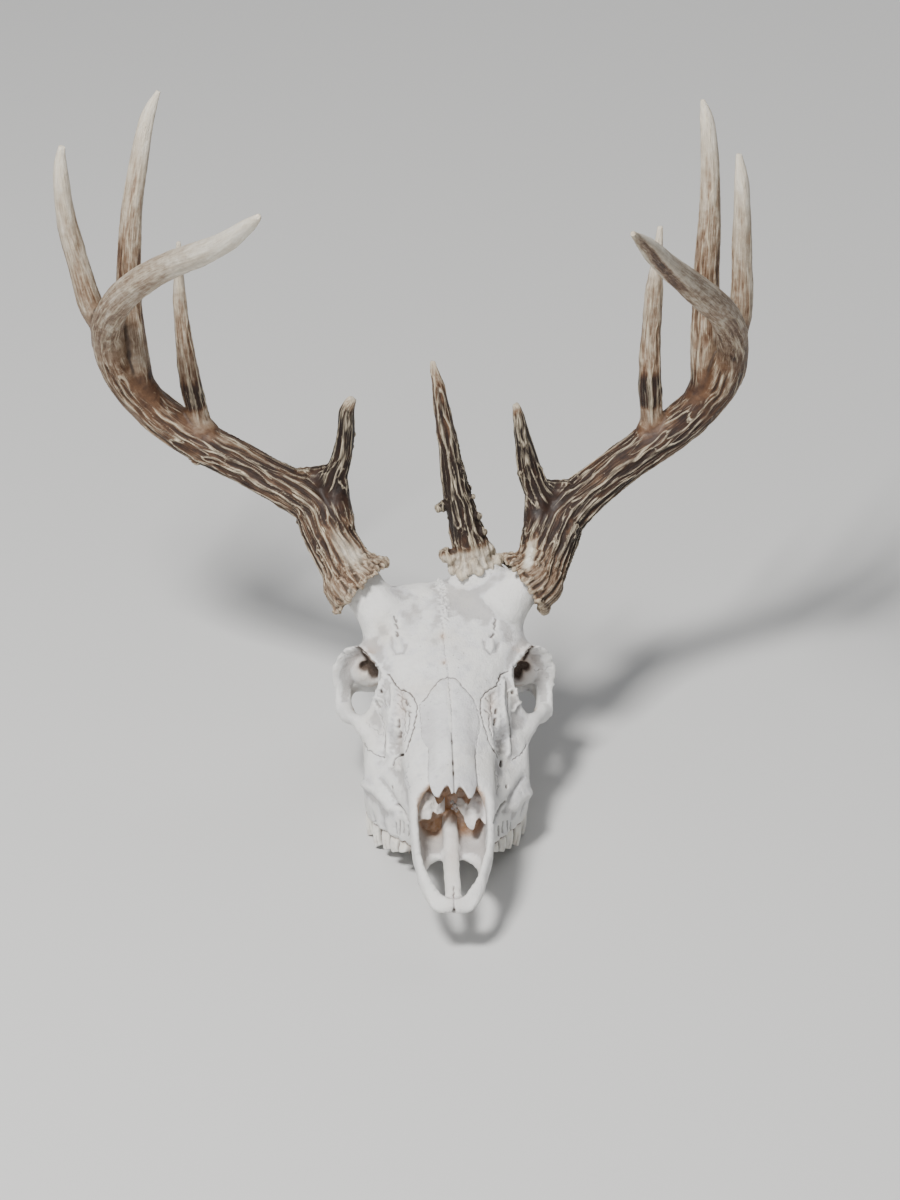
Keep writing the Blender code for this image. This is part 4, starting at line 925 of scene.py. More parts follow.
def nasal_bone(side, tree):
    outline = NASAL_OUTLINE[side]
    bm = bmesh.new()
    bmesh.ops.create_grid(bm, x_segments=34, y_segments=150, size=0.5)
    layer = bm.verts.layers.float.new("groove_and_shade")
    for vert in bm.verts:
        u, v = vert.co.x + 0.5, vert.co.y + 0.5
        front, back = along(outline["front"], u), along(outline["back"], u)
        ragged = noise.noise(Vector((u * 26, 1.7, 0))) * 0.9 + noise.noise(Vector((u * 60, 3.1, 0))) * 0.5
        y = front + (back + ragged - front) * v
        middle = along(NASAL_MIDDLE, y)
        ragged = noise.noise(Vector((y / 3.0, 5.0 if side == "left" else 9.0, 0))) * 0.35
        x = middle + (along(outline["side"], y) + ragged - middle) * u
        rim = min((back - y) * 0.7, abs(x - along(outline["side"], y)), (y - front) * 0.8)
        seam = abs(x - middle)
        pits = max(math.exp(-((y - at) / 1.6) ** 2) for at in NASAL_PITS)
        z = nasal_height(x, y, tree) - 0.55 * math.exp(-(rim / 0.7) ** 2) - 0.5 * math.exp(-(seam / 1.5) ** 2)
        z -= (0.3 + 0.9 * pits) * math.exp(-(seam / 0.5) ** 2)
        z += noise.noise(Vector((x / 5, y / 14, 2.2))) * 0.18
        vert.co = (x, y, z)
        vert[layer] = min(1, (0.5 + 0.5 * pits) * math.exp(-(seam / 0.6) ** 2))
    bmesh.ops.recalc_face_normals(bm, faces=bm.faces)
    if sum(f.normal.z for f in bm.faces) < 0:
        bmesh.ops.reverse_faces(bm, faces=bm.faces)
    bmesh.ops.solidify(bm, geom=bm.faces[:], thickness=NASAL_THICK)
    return new_object(f"nasal_bone_{side}", to_mesh(bm))


skull_faces = [tuple(f.vertices) for f in skull.data.polygons]
skull_tree = BVHTree.FromPolygons([tuple(p) for p in bone_points], skull_faces)
nasals = {side: nasal_bone(side, skull_tree) for side in SIDES}
for made in nasals.values():
    spots = places(made.data)
    beside = (fade(np.abs(spots[:, 0] - 0.8), 5.5, 10.5) * fade(spots[:, 1], 60, 80)
              * (1 - fade(spots[:, 1], 112, 130)))
    # Painted shade: the sides of the bridge are darker.
    mark(made.data, "cavity", 0.48 + 0.2 * beside)
    # Painted shade: the undersides of the bones are tan.
    mark(made.data, "stain_and_shade", 0.7 * (directions(made.data)[:, 2] < -0.3))
print("nasal bones:", [len(made.data.polygons) for made in nasals.values()])

# %% [markdown]
# ## Scrolls inside the nose
# Two thin curled sheets of bone stand out from the sides of the nose, their lower edges broken off
# ragged. Each is a grid laid between its upper and lower edge as the photo shows them; it leans back
# as it rises, and solidify gives it the thickness of an eggshell. A rough backing, painted tan as
# shade, closes the nose behind them, and a few crumbs of bone sit half in it where the gap between
# the sheets shows it. The undersides of the sheets are painted tan as shade too.

# %% Scrolls
SCROLLS = {
    "right": (((415, 809), (420, 802), (424.4, 793.6), (428.4, 791.5), (433.6, 794.7), (437, 803),
               (440, 803.5), (444.8, 797)),
              ((415, 824), (422, 818.7), (430.4, 818), (432.4, 811.5), (437.6, 813.6), (444.8, 811))),
    "left": (((457.2, 798), (462, 798), (466, 802.5), (469, 803.5), (472.4, 796), (477, 792), (482.5, 798),
              (487, 807)),
             ((457.2, 806), (461, 812), (463.5, 815.5), (465.8, 823), (470.7, 829), (473.8, 828), (476, 821),
              (479.5, 817), (483, 821), (487, 826)))}
SCROLL_THICK = 0.8
CRUMBS = ((452, 802, 1.1), (455, 806, 1.5), (458.5, 803, 1.3), (460, 807.5, 1.5), (456.5, 810, 1.2),
          (462, 804, 1.0), (453, 808.5, 0.9), (459, 799.5, 0.9))    # pixel and radius


def scroll(side):
    top, low = SCROLLS[side]
    bm = bmesh.new()
    bmesh.ops.create_grid(bm, x_segments=64, y_segments=14, size=0.5)
    for vert in bm.verts:
        u, v = vert.co.x + 0.5, vert.co.y + 0.5
        middle = u if side == "right" else 1 - u
        x = top[0][0] + (top[-1][0] - top[0][0]) * u
        high = along(top, x) + noise.noise(Vector((x / 1.7, 2.0, 0))) * 0.8
        deep = along(low, x) + noise.noise(Vector((x / 1.3, 7.0, 0))) * 1.5
        y = deep + (high - deep) * v
        back = 62 + 13 * min(max((830 - y) / 38, 0), 1) ** 1.3 + 6 * middle ** 3
        vert.co = behind_pixel(x, y, back + noise.noise(Vector((x / 6, y / 6, 4))) * 1.5)
    bmesh.ops.solidify(bm, geom=bm.faces[:], thickness=SCROLL_THICK)
    return to_mesh(bm)


def backing_at(x, y):
    """How far back the rough backing of the sheets, painted tan as shade, stands on a pixel."""
    uneven = noise.noise(Vector((x / 5, y / 5, 1))) * 1.6
    return 77.5 + (833 - y) * 0.13 + uneven + 3 * math.exp(-((x - 449) / 6) ** 2)


def crumb(x, y, radius):
    """A crumb that sits half in the backing."""
    bm = bmesh.new()
    bmesh.ops.create_icosphere(bm, subdivisions=3, radius=radius)
    for vert in bm.verts:
        vert.co *= 1 + 0.6 * noise.noise(vert.co * 1.1 + Vector((x, y, 0)))
    bmesh.ops.translate(bm, vec=behind_pixel(x, y, backing_at(x, y) - 0.3 * radius), verts=bm.verts)
    return to_mesh(bm)


def backing():
    """The backing of both sheets, rough and leaning back, painted tan as shade."""
    bm = bmesh.new()
    bmesh.ops.create_grid(bm, x_segments=60, y_segments=40, size=0.5)
    for vert in bm.verts:
        x, y = 452 + vert.co.x * 68, 808 - vert.co.y * 50
        vert.co = behind_pixel(x, y, backing_at(x, y))
    bmesh.ops.solidify(bm, geom=bm.faces[:], thickness=SCROLL_THICK)
    return to_mesh(bm)


behind = backing()
behind_count = len(behind.vertices)
crumbs = [crumb(*numbers) for numbers in CRUMBS]
scrolls = gather("nose_scrolls", [scroll("right"), scroll("left"), *crumbs, behind])
spots = places(scrolls.data)
# Painted shade: tan on the surfaces that face down, and on all of the backing.
painted_tan_shade = 0.7 * fade(-directions(scrolls.data)[:, 2], 0.0, 0.4) + 0.1
painted_tan_shade[-behind_count:] = 0.8
mark(scrolls.data, "cavity", np.full(len(spots), 0.5))
mark(scrolls.data, "stain_and_shade", painted_tan_shade)
print("scrolls:", len(scrolls.data.polygons), "faces")

# %% [markdown]
# ## Cheek teeth
# A deer's upper cheek teeth are crescents: the three front ones have one lobe, the three molars
# two, and each lobe ends in a point outside, a lower one inside and a valley between them. Every
# lobe is a skin over rings whose lowest ring follows that crown; the row is then melted together.

# %% Tooth rows
def lobe(back, middle, length, width, tip):
    """One lobe of a tooth of the left row. Its outer wall bulges in a rib."""
    rings = []
    levels = ((7.0, 0.74), (2.0, 0.9), (-1.5, 1.0), (-4.5, 1.03), (tip * 0.62, 1.0), (tip, 0.9))
    for z, wide in levels:
        ring = []
        for i in range(24):
            a = 2 * math.pi * i / 24
            c, s = math.cos(a), math.sin(a)
            out = width / 2 * wide * math.copysign(abs(c) ** 0.8, c)
            if c > 0:
                out += 1.5 * math.exp(-(s / 0.26) ** 2) * wide
            fore = length / 2 * wide * math.copysign(abs(s) ** 0.8, s)
            lift = 0.0
            if z == tip:
                lift = 2.6 * abs(s) ** 1.4 + (2.2 if c < 0 else 0.0) * abs(c)
            ring.append((middle + out - 1.5 * (z < -4) * (1 - wide), back + fore, z + lift))
        rings.append(ring)
    valley = [(middle + (x - middle) * 0.45, back + (y - back) * 0.45, tip + 3.6) for x, y, z in rings[-1]]
    rings.append(valley)
    return skin_over(rings)


TOOTH_VOXEL, LOWEST_CROWN = 0.5, -15.8


def tooth_row(side):
    lobes = []
    for back, middle, length, width, tip, count in TEETH:
        for i in range(count):
            part = length / count
            at = back + length * ((i + 0.5) / count - 0.5)
            lobes.append(lobe(at, middle, part * 0.94, width, max(tip, LOWEST_CROWN)))
    made = gather(f"cheek_teeth_{side}", lobes)
    if side == "right":
        made.data.transform(Matrix.Scale(-1, 4, (1, 0, 0)))
        made.data.flip_normals()
    remelt(made, TOOTH_VOXEL, 2)
    spots = places(made.data)
    gum = np.array([skull_tree.find_nearest(Vector(p))[3] for p in spots])
    z = spots[:, 2]
    hollow = cavity(spots, made.data, 8, 3.4)
    gap = np.min([np.abs(np.abs(spots[:, 1] - back) - length / 2) for back, length in ROOTS], axis=0)
    fold = np.min([np.abs(np.abs(spots[:, 1] - back) - length * 0.24) for back, length in ROOTS], axis=0)
    lines = np.maximum.reduce([np.exp(-(gum / 0.7) ** 2) * 0.8, np.exp(-(gap / 0.8) ** 2) * 0.8,
                               np.exp(-(fold / 0.35) ** 2) * 0.32 * fade(-z, 5, 9)])
    # Painted shade: the hollows of the crowns are darkened along with the dark lines.
    mark(made.data, "groove_and_shade", np.clip(lines + fade(hollow, 0.6, 0.9) * 0.75, 0, 1))
    mark(made.data, "cavity", hollow)
    blotch = fade(rough(spots, 3.2, 2, 1.0), 0.0, 0.35)
    mark(made.data, "stain_and_shade", np.clip(fade(-z, 9, 16) * 0.45 * blotch + 0.3 * np.exp(-(gum / 1.5) ** 2), 0, 1))
    return made


teeth = {side: tooth_row(side) for side in SIDES}
print("tooth rows:", [len(made.data.polygons) for made in teeth.values()])

# %% [markdown]
# ## Antlers
# An antler grows like a tree: a beam, a crown of pearls at its foot, and tines with a broad web at
# each fork. Tubes along the lines, short tubes across the forks and balls for the pearls are melted
# into one skin. Then each vertex learns where it lies along its own beam or tine, and ridges that
# run with the growth are pushed out along that flow.

# %% Paleness and ridges along each line
# Each line: stations, paleness (0 dark brown, 1 ivory) and depth of the ridges in mm, over its length.
BEAM_RIDGES = ((0, 1.1), (0.25, 1.0), (0.42, 0.6), (0.6, 0.3), (1, 0.08))
GROWTH = {
    "right": {
        "beam": (BEAM_RIGHT, ((0, 0.62), (0.03, 0.5), (0.05, 0.27), (0.12, 0.3), (0.2, 0.3), (0.3, 0.36),
                              (0.42, 0.46), (0.55, 0.6), (0.7, 0.72), (0.85, 0.9), (1, 1.0)), BEAM_RIDGES),
        "brow": (TINES_RIGHT["brow"], ((0, 0.08), (0.75, 0.03), (0.9, 0.2), (1, 0.85)), ((0, 1.0), (1, 0.5))),
        "second": (TINES_RIGHT["second"], ((0, 0.3), (0.08, 0.58), (0.16, 0.6), (0.19, 0.14), (0.27, 0.16),
                                           (0.33, 0.5), (0.6, 0.56), (1, 0.95)), ((0, 0.7), (1, 0.3))),
        "third": (TINES_RIGHT["third"], ((0, 0.2), (0.1, 0.3), (0.14, 0.6), (0.4, 0.5), (0.7, 0.72),
                                         (1, 1.0)), ((0, 0.6), (1, 0.2))),
        "fourth": (TINES_RIGHT["fourth"], ((0, 0.5), (0.3, 0.62), (0.7, 0.8), (1, 1.0)),
                   ((0, 0.5), (1, 0.2)))},
    "left": {
        "beam": (BEAM_LEFT, ((0, 0.6), (0.03, 0.46), (0.06, 0.18), (0.14, 0.2), (0.3, 0.27), (0.42, 0.42),
                             (0.55, 0.56), (0.7, 0.64), (0.85, 0.8), (1, 0.95)), BEAM_RIDGES),
        "brow": (TINES_LEFT["brow"], ((0, 0.05), (0.75, 0.0), (0.92, 0.2), (1, 0.85)), ((0, 1.0), (1, 0.5))),
        "second": (TINES_LEFT["second"], ((0, 0.3), (0.08, 0.58), (0.15, 0.6), (0.18, 0.1), (0.29, 0.14),
                                          (0.34, 0.52), (0.6, 0.6), (1, 0.95)), ((0, 0.8), (1, 0.3))),
        "third": (TINES_LEFT["third"], ((0, 0.2), (0.1, 0.25), (0.15, 0.62), (0.4, 0.5), (0.7, 0.7),
                                        (1, 1.0)), ((0, 0.7), (1, 0.2))),
        "fourth": (TINES_LEFT["fourth"], ((0, 0.45), (0.3, 0.62), (0.7, 0.78), (1, 1.0)),
                   ((0, 0.6), (1, 0.2)))},
    "middle": {
        "beam": (THIRD_BEAM, ((0, 0.84), (0.09, 0.78), (0.12, 0.25), (0.2, 0.06), (0.6, 0.1), (0.85, 0.3),
                              (1, 0.8)), ((0, 1.0), (1, 0.6)))}}
# Pale or dark patches: pixel, half length and half width in pixels, turn in degrees, change of tone.
PATCHES = {"right": ((343, 545, 26, 9, 48, 0.42), (352, 520, 8, 6, 0, 0.25)),
           "left": ((531, 552, 18, 5, 105, 0.55), (659, 264, 40, 5.5, 50, -0.42)),
           "middle": ()}
ANTLER_VOXEL = 0.85


def fine_line(stations):
    return np.array(smooth_line(stations, 14))


def frames(line):
    """Length so far, and the directions along and across, carried along without twist."""
    centres = line[:, :3]
    heading = np.gradient(centres, axis=0)
    heading /= np.linalg.norm(heading, axis=1)[:, None]
    length = np.concatenate(([0], np.cumsum(np.linalg.norm(np.diff(centres, axis=0), axis=1))))
    side = [np.cross(heading[0], (0, 1, 0))]
    for t in heading[1:]:
        s = side[-1] - t * (side[-1] @ t)
        side.append(s / np.linalg.norm(s))
    return length, heading, np.array(side), np.cross(heading, np.array(side))


def flow_of(points, lines):
    """Place in the nearest line's own frame, how far along each line, its weight, and 0 at a fork."""
    gaps, flows, shares = [], [], []
    for k, line in enumerate(lines):
        length, heading, side, other = frames(line)
        nearest, gap = np.empty(len(points), int), np.empty(len(points))
        for start in range(0, len(points), 8000):
            chunk = points[start:start + 8000]
            d = np.linalg.norm(chunk[:, None] - line[None, :, :3], axis=2) - line[None, :, 3]
            nearest[start:start + 8000] = d.argmin(1)
            gap[start:start + 8000] = d.min(1)
        away = points - line[nearest, :3]
        s = length[nearest] + np.einsum("ij,ij->i", away, heading[nearest])
        flows.append(np.stack((np.einsum("ij,ij->i", away, side[nearest]) + 60 * k,
                               np.einsum("ij,ij->i", away, other[nearest]), s), axis=1))
        gaps.append(gap)
        shares.append(np.clip(s / length[-1], 0, 1))
    gaps, shares = np.array(gaps), np.array(shares)
    weights = np.exp(-(gaps - gaps.min(0)) / 3.0)
    order = np.sort(gaps, axis=0)
    calm = fade(order[1] - order[0], 0.8, 7.0) if len(gaps) > 1 else np.ones(len(points))
    return np.array(flows)[gaps.argmin(0), np.arange(len(points))], shares, weights / weights.sum(0), calm


def streaks(flow, wide, long, shift):
    """Noise drawn out along the growth."""
    return np.array([noise.noise(Vector((a / wide, b / wide, s / long + shift))) for a, b, s in flow])


# %% Pearls, webs and knobs
def pearl(centre, radius):
    bm = bmesh.new()
    bmesh.ops.create_icosphere(bm, subdivisions=2, radius=radius)
    bmesh.ops.translate(bm, vec=centre, verts=bm.verts)
    return to_mesh(bm)


def crown(stations, seed, count=30, bead=2.35, rows=((0.0, 1.02), (2.6, 0.96), (5.2, 0.86), (8.5, 0.76))):
    """The rows of pearls round an antler's foot."""
    chance = random.Random(seed)
    line = fine_line(stations)
    _, heading, side, other = frames(line)
    foot, radius = line[4, :3], stations[0][3]
    beads = []
    for row, (lift, share) in enumerate(rows):
        for i in range(count):
            a = 2 * math.pi * (i + 0.5 * row + chance.uniform(-0.3, 0.3)) / count
            size = bead * chance.uniform(0.55, 1.15) * (1 - 0.13 * row)
            reach = radius * share + chance.uniform(-1.2, 1.2)
            if chance.random() < 0.22 * row:
                continue
            where = foot + heading[0] * (lift - 1.5 + chance.uniform(-1.0, 1.0))
            beads.append(pearl(where + (side[0] * math.cos(a) + other[0] * math.sin(a)) * reach, size))
    return beads


def bumps(stations, seed, share, count, size=1.5):
    """Small warts on the lower part of a beam or tine."""
    chance = random.Random(seed)
    line = fine_line(stations)
    _, _, side, other = frames(line)
    made = []
    for _ in range(count):
        k = int(len(line) * (0.04 + share * chance.random()))
        a = chance.uniform(0, 2 * math.pi)
        out = side[k] * math.cos(a) + other[k] * math.sin(a)
        made.append(pearl(line[k, :3] + out * line[k, 3] * 0.96, size * chance.uniform(0.6, 1.25)))
    return made


def web(beam, tine, reach, aside, fill):
    """Short tubes across both sides of a fork, so that it opens in a soft curve."""
    line, branch = fine_line(beam), fine_line(tine)
    near = np.linalg.norm(line[:, :3] - branch[0, :3], axis=1).argmin()
    length = frames(line)[0]
    high = branch[np.abs(frames(branch)[0] - reach).argmin()]
    made = []
    for way in (-1, 1):
        foot = line[np.abs(length - length[near] - way * aside).argmin()]
        middle = (foot[:3] + high[:3]) / 2 * fill + line[near, :3] * (1 - fill)
        made.append(pipe([(*foot[:3], foot[3] * 0.86), (*middle, (foot[3] + high[3]) * 0.46),
                          (*high[:3], high[3] * 0.92)]))
    return made


def knob(x, y, back, radius):
    return pearl(behind_pixel(x, y, back), radius)


KNOBS = {"right": ((197, 461, 243, 3.4), (196, 458, 243, 3.8)), "left": (),
         "middle": ((439, 508, 206, 2.6), (441.5, 507, 206, 3.0), (445, 505.5, 206, 3.4),
                    (446, 555, 203, 4.3), (452, 557, 203, 4.6), (472, 497, 203, 2.0),
                    (478, 516, 203, 2.2), (483, 532, 203, 2.4),
                    (463, 470, 204, 1.7))}    # pixel, distance back and radius


# %% Growing the antlers
def patch_of(points, side):
    """Change of tone where the photo shows a patch."""
    px, total = photo_place(points), np.zeros(len(points))
    for x, y, long, wide, turn, change in PATCHES[side]:
        c, s = math.cos(math.radians(turn)), math.sin(math.radians(turn))
        ahead_of, beside = (px - (x, y)) @ (c, s), (px - (x, y)) @ (-s, c)
        total += change * np.exp(-(ahead_of / long) ** 4 - (beside / wide) ** 4)
    return total


def on_tine(weights):
    """0 where a point belongs to the beam, 1 on a tine."""
    return fade(weights[0], 0.6, 0.3)


SEEDS = {"right": 11, "left": 23, "middle": 37}
# Each fork: tine, how far up the tine and along the beam its web reaches in mm, and its fullness.
FORKS = (("brow", 24, 23, 0.95), ("second", 14, 13, 0.72), ("third", 15, 13, 0.72), ("fourth", 16, 13, 0.72))
MIDDLE_CROWN = ((1.5, 0.95), (5.0, 0.82), (8.5, 0.72))


def grow(side):
    growth = GROWTH[side]
    beam = growth["beam"][0]
    forms = [pipe([tuple(s) for s in fine_line(stations)], detail=5) for stations, _, _ in growth.values()]
    seed = SEEDS[side]
    roots = []
    if side == "middle":
        forms += bumps(beam, seed, 0.6, 30, 1.3)
        forms += crown([(*beam[0][:3], 13.5), *beam[1:]], seed, 18, 3.3, MIDDLE_CROWN)
    else:
        forms += crown(beam, seed) + bumps(beam, seed + 1, 0.28, 70, 1.4)
        forms += bumps(growth["brow"][0], seed + 2, 0.6, 18, 1.1)
        for name, high, aside, fill in FORKS:
            forms += web(beam, growth[name][0], high, aside, fill)
            roots.append(fine_line(growth[name][0])[5, :3])
    forms += [knob(*numbers) for numbers in KNOBS[side]]
    made = gather("middle_beam" if side == "middle" else f"antler_{side}", forms)
    remelt(made, ANTLER_VOXEL, 1)
    mesh = made.data
    if roots:
        relax(mesh, near_points(places(mesh), roots, 19), 18)
    points = places(mesh)
    flow, shares, weights, calm = flow_of(points, [fine_line(stations) for stations, _, _ in growth.values()])
    pale = sum(w * np.interp(s, *zip(*g[1])) for w, s, g in zip(weights, shares, growth.values()))
    deep = sum(w * np.interp(s, *zip(*g[2])) for w, s, g in zip(weights, shares, growth.values()))
    change = patch_of(points, side) * (directions(mesh) @ VIEW < 0.2)
    bend = np.stack((streaks(flow, 9.0, 12.0, 11.0), streaks(flow, 9.0, 12.0, 23.0), np.zeros(len(flow))),
                    axis=1)
    coarse = streaks(flow + bend * 1.9, 3.6, 60.0, 0.0)
    fine = streaks(flow + bend * 1.4, 2.1, 34.0, 40.0)
    ridge = np.clip((1 - np.abs(coarse) * 3.4) * 0.8 + (1 - np.abs(fine) * 3.2) * 0.35, -0.2, 1)
    swell = streaks(flow, 14.0, 30.0, 80.0)
    quiet = 0.1 + 0.9 * calm
    push = quiet * (deep * (ridge - 0.5) + swell * 0.6) + np.minimum(change, 0) * 2.0
    move_to(mesh, points + directions(mesh) * push[:, None])
    above = np.maximum(fade(shares[0] * frames(fine_line(beam))[0][-1], 7, 15), on_tine(weights))
    lined = np.clip(deep * 1.1, 0, 1) * calm * above
    for name, values in (("coarse", coarse), ("fine", fine), ("ridge", lined), ("calm", calm),
                         ("pale", pale + change - 0.05), ("cavity", cavity(places(mesh), mesh, 5, 1.6))):
        mark(mesh, name, values)
    mark_vector(mesh, "flow", flow)
    print(made.name, "faces:", len(mesh.polygons))
    return made


antlers = {side: grow(side) for side in ("right", "left", "middle")}

# %% [markdown]
# ## Shader tools
# The grain of old bone, with its painted shade, is shared by the skull's and the teeth's materials,
# so it is a node group, and the streaks of antler with theirs are another. A group only puts out
# colour, roughness and a height; the Principled BSDF and its Bump stay in the material.

# %% Node helpers
def add(tree, kind, settings=None, **inputs):
    """A node with its settings; an input takes a number, a colour or another node's output."""
    made = tree.nodes.new(kind)
    for name, value in (settings or {}).items():
        setattr(made, name, value)
    for name, value in inputs.items():
        by_number = name[0] == "_" and name[1:].isdigit()
        socket = made.inputs[int(name[1:]) if by_number else name.replace("_", " ")]
        if isinstance(value, bpy.types.NodeSocket):
            tree.links.new(value, socket)
        else:
            socket.default_value = value
    return made


def maths(tree, operation, a, b=0.0, clamp=False):
    return add(tree, "ShaderNodeMath", {"operation": operation, "use_clamp": clamp}, _0=a, _1=b).outputs[0]


def blend(tree, share, a, b, how="MIX"):
    made = add(tree, "ShaderNodeMix", {"data_type": "RGBA", "blend_type": how}, _0=share, _6=a, _7=b)
    return made.outputs[2]


def ramp(tree, share, stops):
    made = add(tree, "ShaderNodeValToRGB", None, Fac=share)
    elements = made.color_ramp.elements
    while len(elements) < len(stops):
        elements.new(0.5)
    for element, (at, colour) in zip(elements, stops):
        element.position, element.color = at, (*colour, 1.0)
    return made.outputs["Color"]


def spread(tree, share, start, end, low=0.0, high=1.0):
    made = add(tree, "ShaderNodeMapRange", {"clamp": True}, Value=share, From_Min=start, From_Max=end,
               To_Min=low, To_Max=high)
    return made.outputs["Result"]


def cloud(tree, place, scale, detail=3.0, harsh=0.55, stretch=None):
    if stretch:
        place = add(tree, "ShaderNodeMapping", None, Vector=place, Scale=stretch).outputs[0]
    made = add(tree, "ShaderNodeTexNoise", None, Vector=place, Scale=scale, Detail=detail, Roughness=harsh)
    return made.outputs["Fac"]


def new_group(name, inputs, outputs):
    tree = bpy.data.node_groups.new(name, "ShaderNodeTree")
    for label, kind in inputs:
        tree.interface.new_socket(name=label, in_out="INPUT", socket_type=f"NodeSocket{kind}")
    for label, kind in outputs:
        tree.interface.new_socket(name=label, in_out="OUTPUT", socket_type=f"NodeSocket{kind}")
    return tree, tree.nodes.new("NodeGroupInput").outputs, tree.nodes.new("NodeGroupOutput").inputs


def new_material(name, group, inputs, bump):
    """A material whose colour, roughness and bump come from a group."""
    made = bpy.data.materials.new(name)
    made.use_nodes = True
    tree = made.node_tree
    shader = tree.nodes["Principled BSDF"]
    effect = tree.nodes.new("ShaderNodeGroup")
    effect.node_tree = group
    for label, value in inputs.items():
        if isinstance(value, str):
            source = (add(tree, "ShaderNodeTexCoord").outputs["Object"] if value == "object"
                      else add(tree, "ShaderNodeAttribute", {"attribute_name": value}))
            if value != "object":
                source = source.outputs["Vector" if value == "flow" else "Fac"]
            tree.links.new(source, effect.inputs[label])
        else:
            effect.inputs[label].default_value = value
    lift = add(tree, "ShaderNodeBump", None, Height=effect.outputs["Height"], Strength=1.0, Distance=bump)
    tree.links.new(effect.outputs["Color"], shader.inputs["Base Color"])
    tree.links.new(effect.outputs["Roughness"], shader.inputs["Roughness"])
    tree.links.new(lift.outputs["Normal"], shader.inputs["Normal"])
    shader.inputs["Specular IOR Level"].default_value = 0.35
    return made


# %% Bone grain and painted shade
bone_group, given, put = new_group(
    "bone_grain_and_shade",
    [("Place", "Vector"), ("Light", "Color"), ("Warm", "Color"), ("Stain Color", "Color"),
     ("Groove", "Float"), ("Stain", "Float"), ("Cavity", "Float")],
    [("Color", "Color"), ("Roughness", "Float"), ("Height", "Float")])
tree = bone_group
broad = cloud(tree, given["Place"], 55.0, 4.0)
patch = cloud(tree, given["Place"], 160.0, 5.0, 0.65)
speck = cloud(tree, given["Place"], 900.0, 4.0, 0.7)
fibre = cloud(tree, given["Place"], 1.0, 5.0, 0.65, (1500.0, 260.0, 700.0))
colour = blend(tree, spread(tree, broad, 0.36, 0.78), given["Light"], given["Warm"])
cream = spread(tree, cloud(tree, given["Place"], 34.0, 4.0), 0.52, 0.7, 0.0, 0.5)
colour = blend(tree, cream, colour, (0.74, 0.69, 0.58, 1.0))
colour = blend(tree, spread(tree, patch, 0.50, 0.70, 0.0, 0.55), colour, (0.52, 0.515, 0.53, 1.0))
colour = blend(tree, spread(tree, speck, 0.58, 0.75, 0.0, 0.3), colour, (0.50, 0.46, 0.38, 1.0))
pores = add(tree, "ShaderNodeTexVoronoi", None, Vector=given["Place"], Scale=210.0).outputs["Distance"]
colour = blend(tree, spread(tree, pores, 0.07, 0.03, 0.0, 0.6), colour, (0.20, 0.15, 0.10, 1.0))
# Painted shade: hollows darker, sharp edges lighter.
hollow = spread(tree, given["Cavity"], 0.53, 0.95, 0.0, 0.6)
colour = blend(tree, hollow, colour, (0.36, 0.34, 0.325, 1.0))
edge = spread(tree, given["Cavity"], 0.42, 0.12, 0.0, 0.6)
colour = blend(tree, edge, colour, (0.86, 0.85, 0.81, 1.0))
# The stain mask holds real stains and painted shade.
uneven = maths(tree, "MULTIPLY", given["Stain"], spread(tree, patch, 0.3, 0.62, 0.55, 1.0))
colour = blend(tree, uneven, colour, given["Stain Color"])
# Dark seams, and painted shade in holes, pits, gaps and recesses.
dark_line_and_shade = maths(tree, "MULTIPLY", spread(tree, given["Groove"], 0.12, 0.75),
              spread(tree, speck, 0.35, 0.55, 0.85, 1.0))
colour = blend(tree, dark_line_and_shade, colour, (0.085, 0.06, 0.045, 1.0))
height = maths(tree, "ADD", maths(tree, "MULTIPLY", fibre, 0.5), maths(tree, "MULTIPLY", speck, 0.7))
height = maths(tree, "ADD", height, maths(tree, "MULTIPLY", patch, 1.4))
height = maths(tree, "SUBTRACT", height, spread(tree, pores, 0.09, 0.03, 0.0, 0.6))
dull = spread(tree, patch, 0.3, 0.7, 0.5, 0.72)
for label, value in (("Color", colour), ("Roughness", dull), ("Height", height)):
    tree.links.new(value, put[label])

# %% Antler streaks and painted shade
antler_group, given, put = new_group(
    "antler_streaks_and_shade",
    [("Flow", "Vector"), ("Coarse", "Float"), ("Fine", "Float"), ("Ridge", "Float"), ("Calm", "Float"),
     ("Pale", "Float"), ("Cavity", "Float"), ("Place", "Vector"), ("Cream", "Color")],
    [("Color", "Color"), ("Roughness", "Float"), ("Height", "Float")])
tree = antler_group
hair = cloud(tree, given["Flow"], 1.0, 5.0, 0.62, (1.15, 1.15, 0.085))
band = cloud(tree, given["Flow"], 1.0, 3.0, 0.55, (0.24, 0.24, 0.04))
grit = cloud(tree, given["Flow"], 2.4, 4.0, 0.7)
waver = maths(tree, "ADD", maths(tree, "MULTIPLY", maths(tree, "SUBTRACT", hair, 0.5), 0.8),
              maths(tree, "MULTIPLY", maths(tree, "SUBTRACT", band, 0.5), 0.8))
mottle = cloud(tree, given["Place"], 170.0, 5.0, 0.65)
waver = maths(tree, "ADD", maths(tree, "MULTIPLY", waver, given["Calm"]),
              maths(tree, "MULTIPLY", maths(tree, "SUBTRACT", mottle, 0.5), 0.55))
waver = maths(tree, "MULTIPLY", waver, spread(tree, given["Pale"], 0.5, 0.9, 1.0, 0.4))
tone = maths(tree, "ADD", given["Pale"], waver, clamp=True)
colour = ramp(tree, tone, ((0.0, (0.014, 0.007, 0.005)), (0.2, (0.045, 0.021, 0.012)),
                           (0.36, (0.12, 0.062, 0.032)), (0.54, (0.27, 0.19, 0.128)),
                           (0.74, (0.52, 0.45, 0.355)), (1.0, (0.84, 0.80, 0.70))))
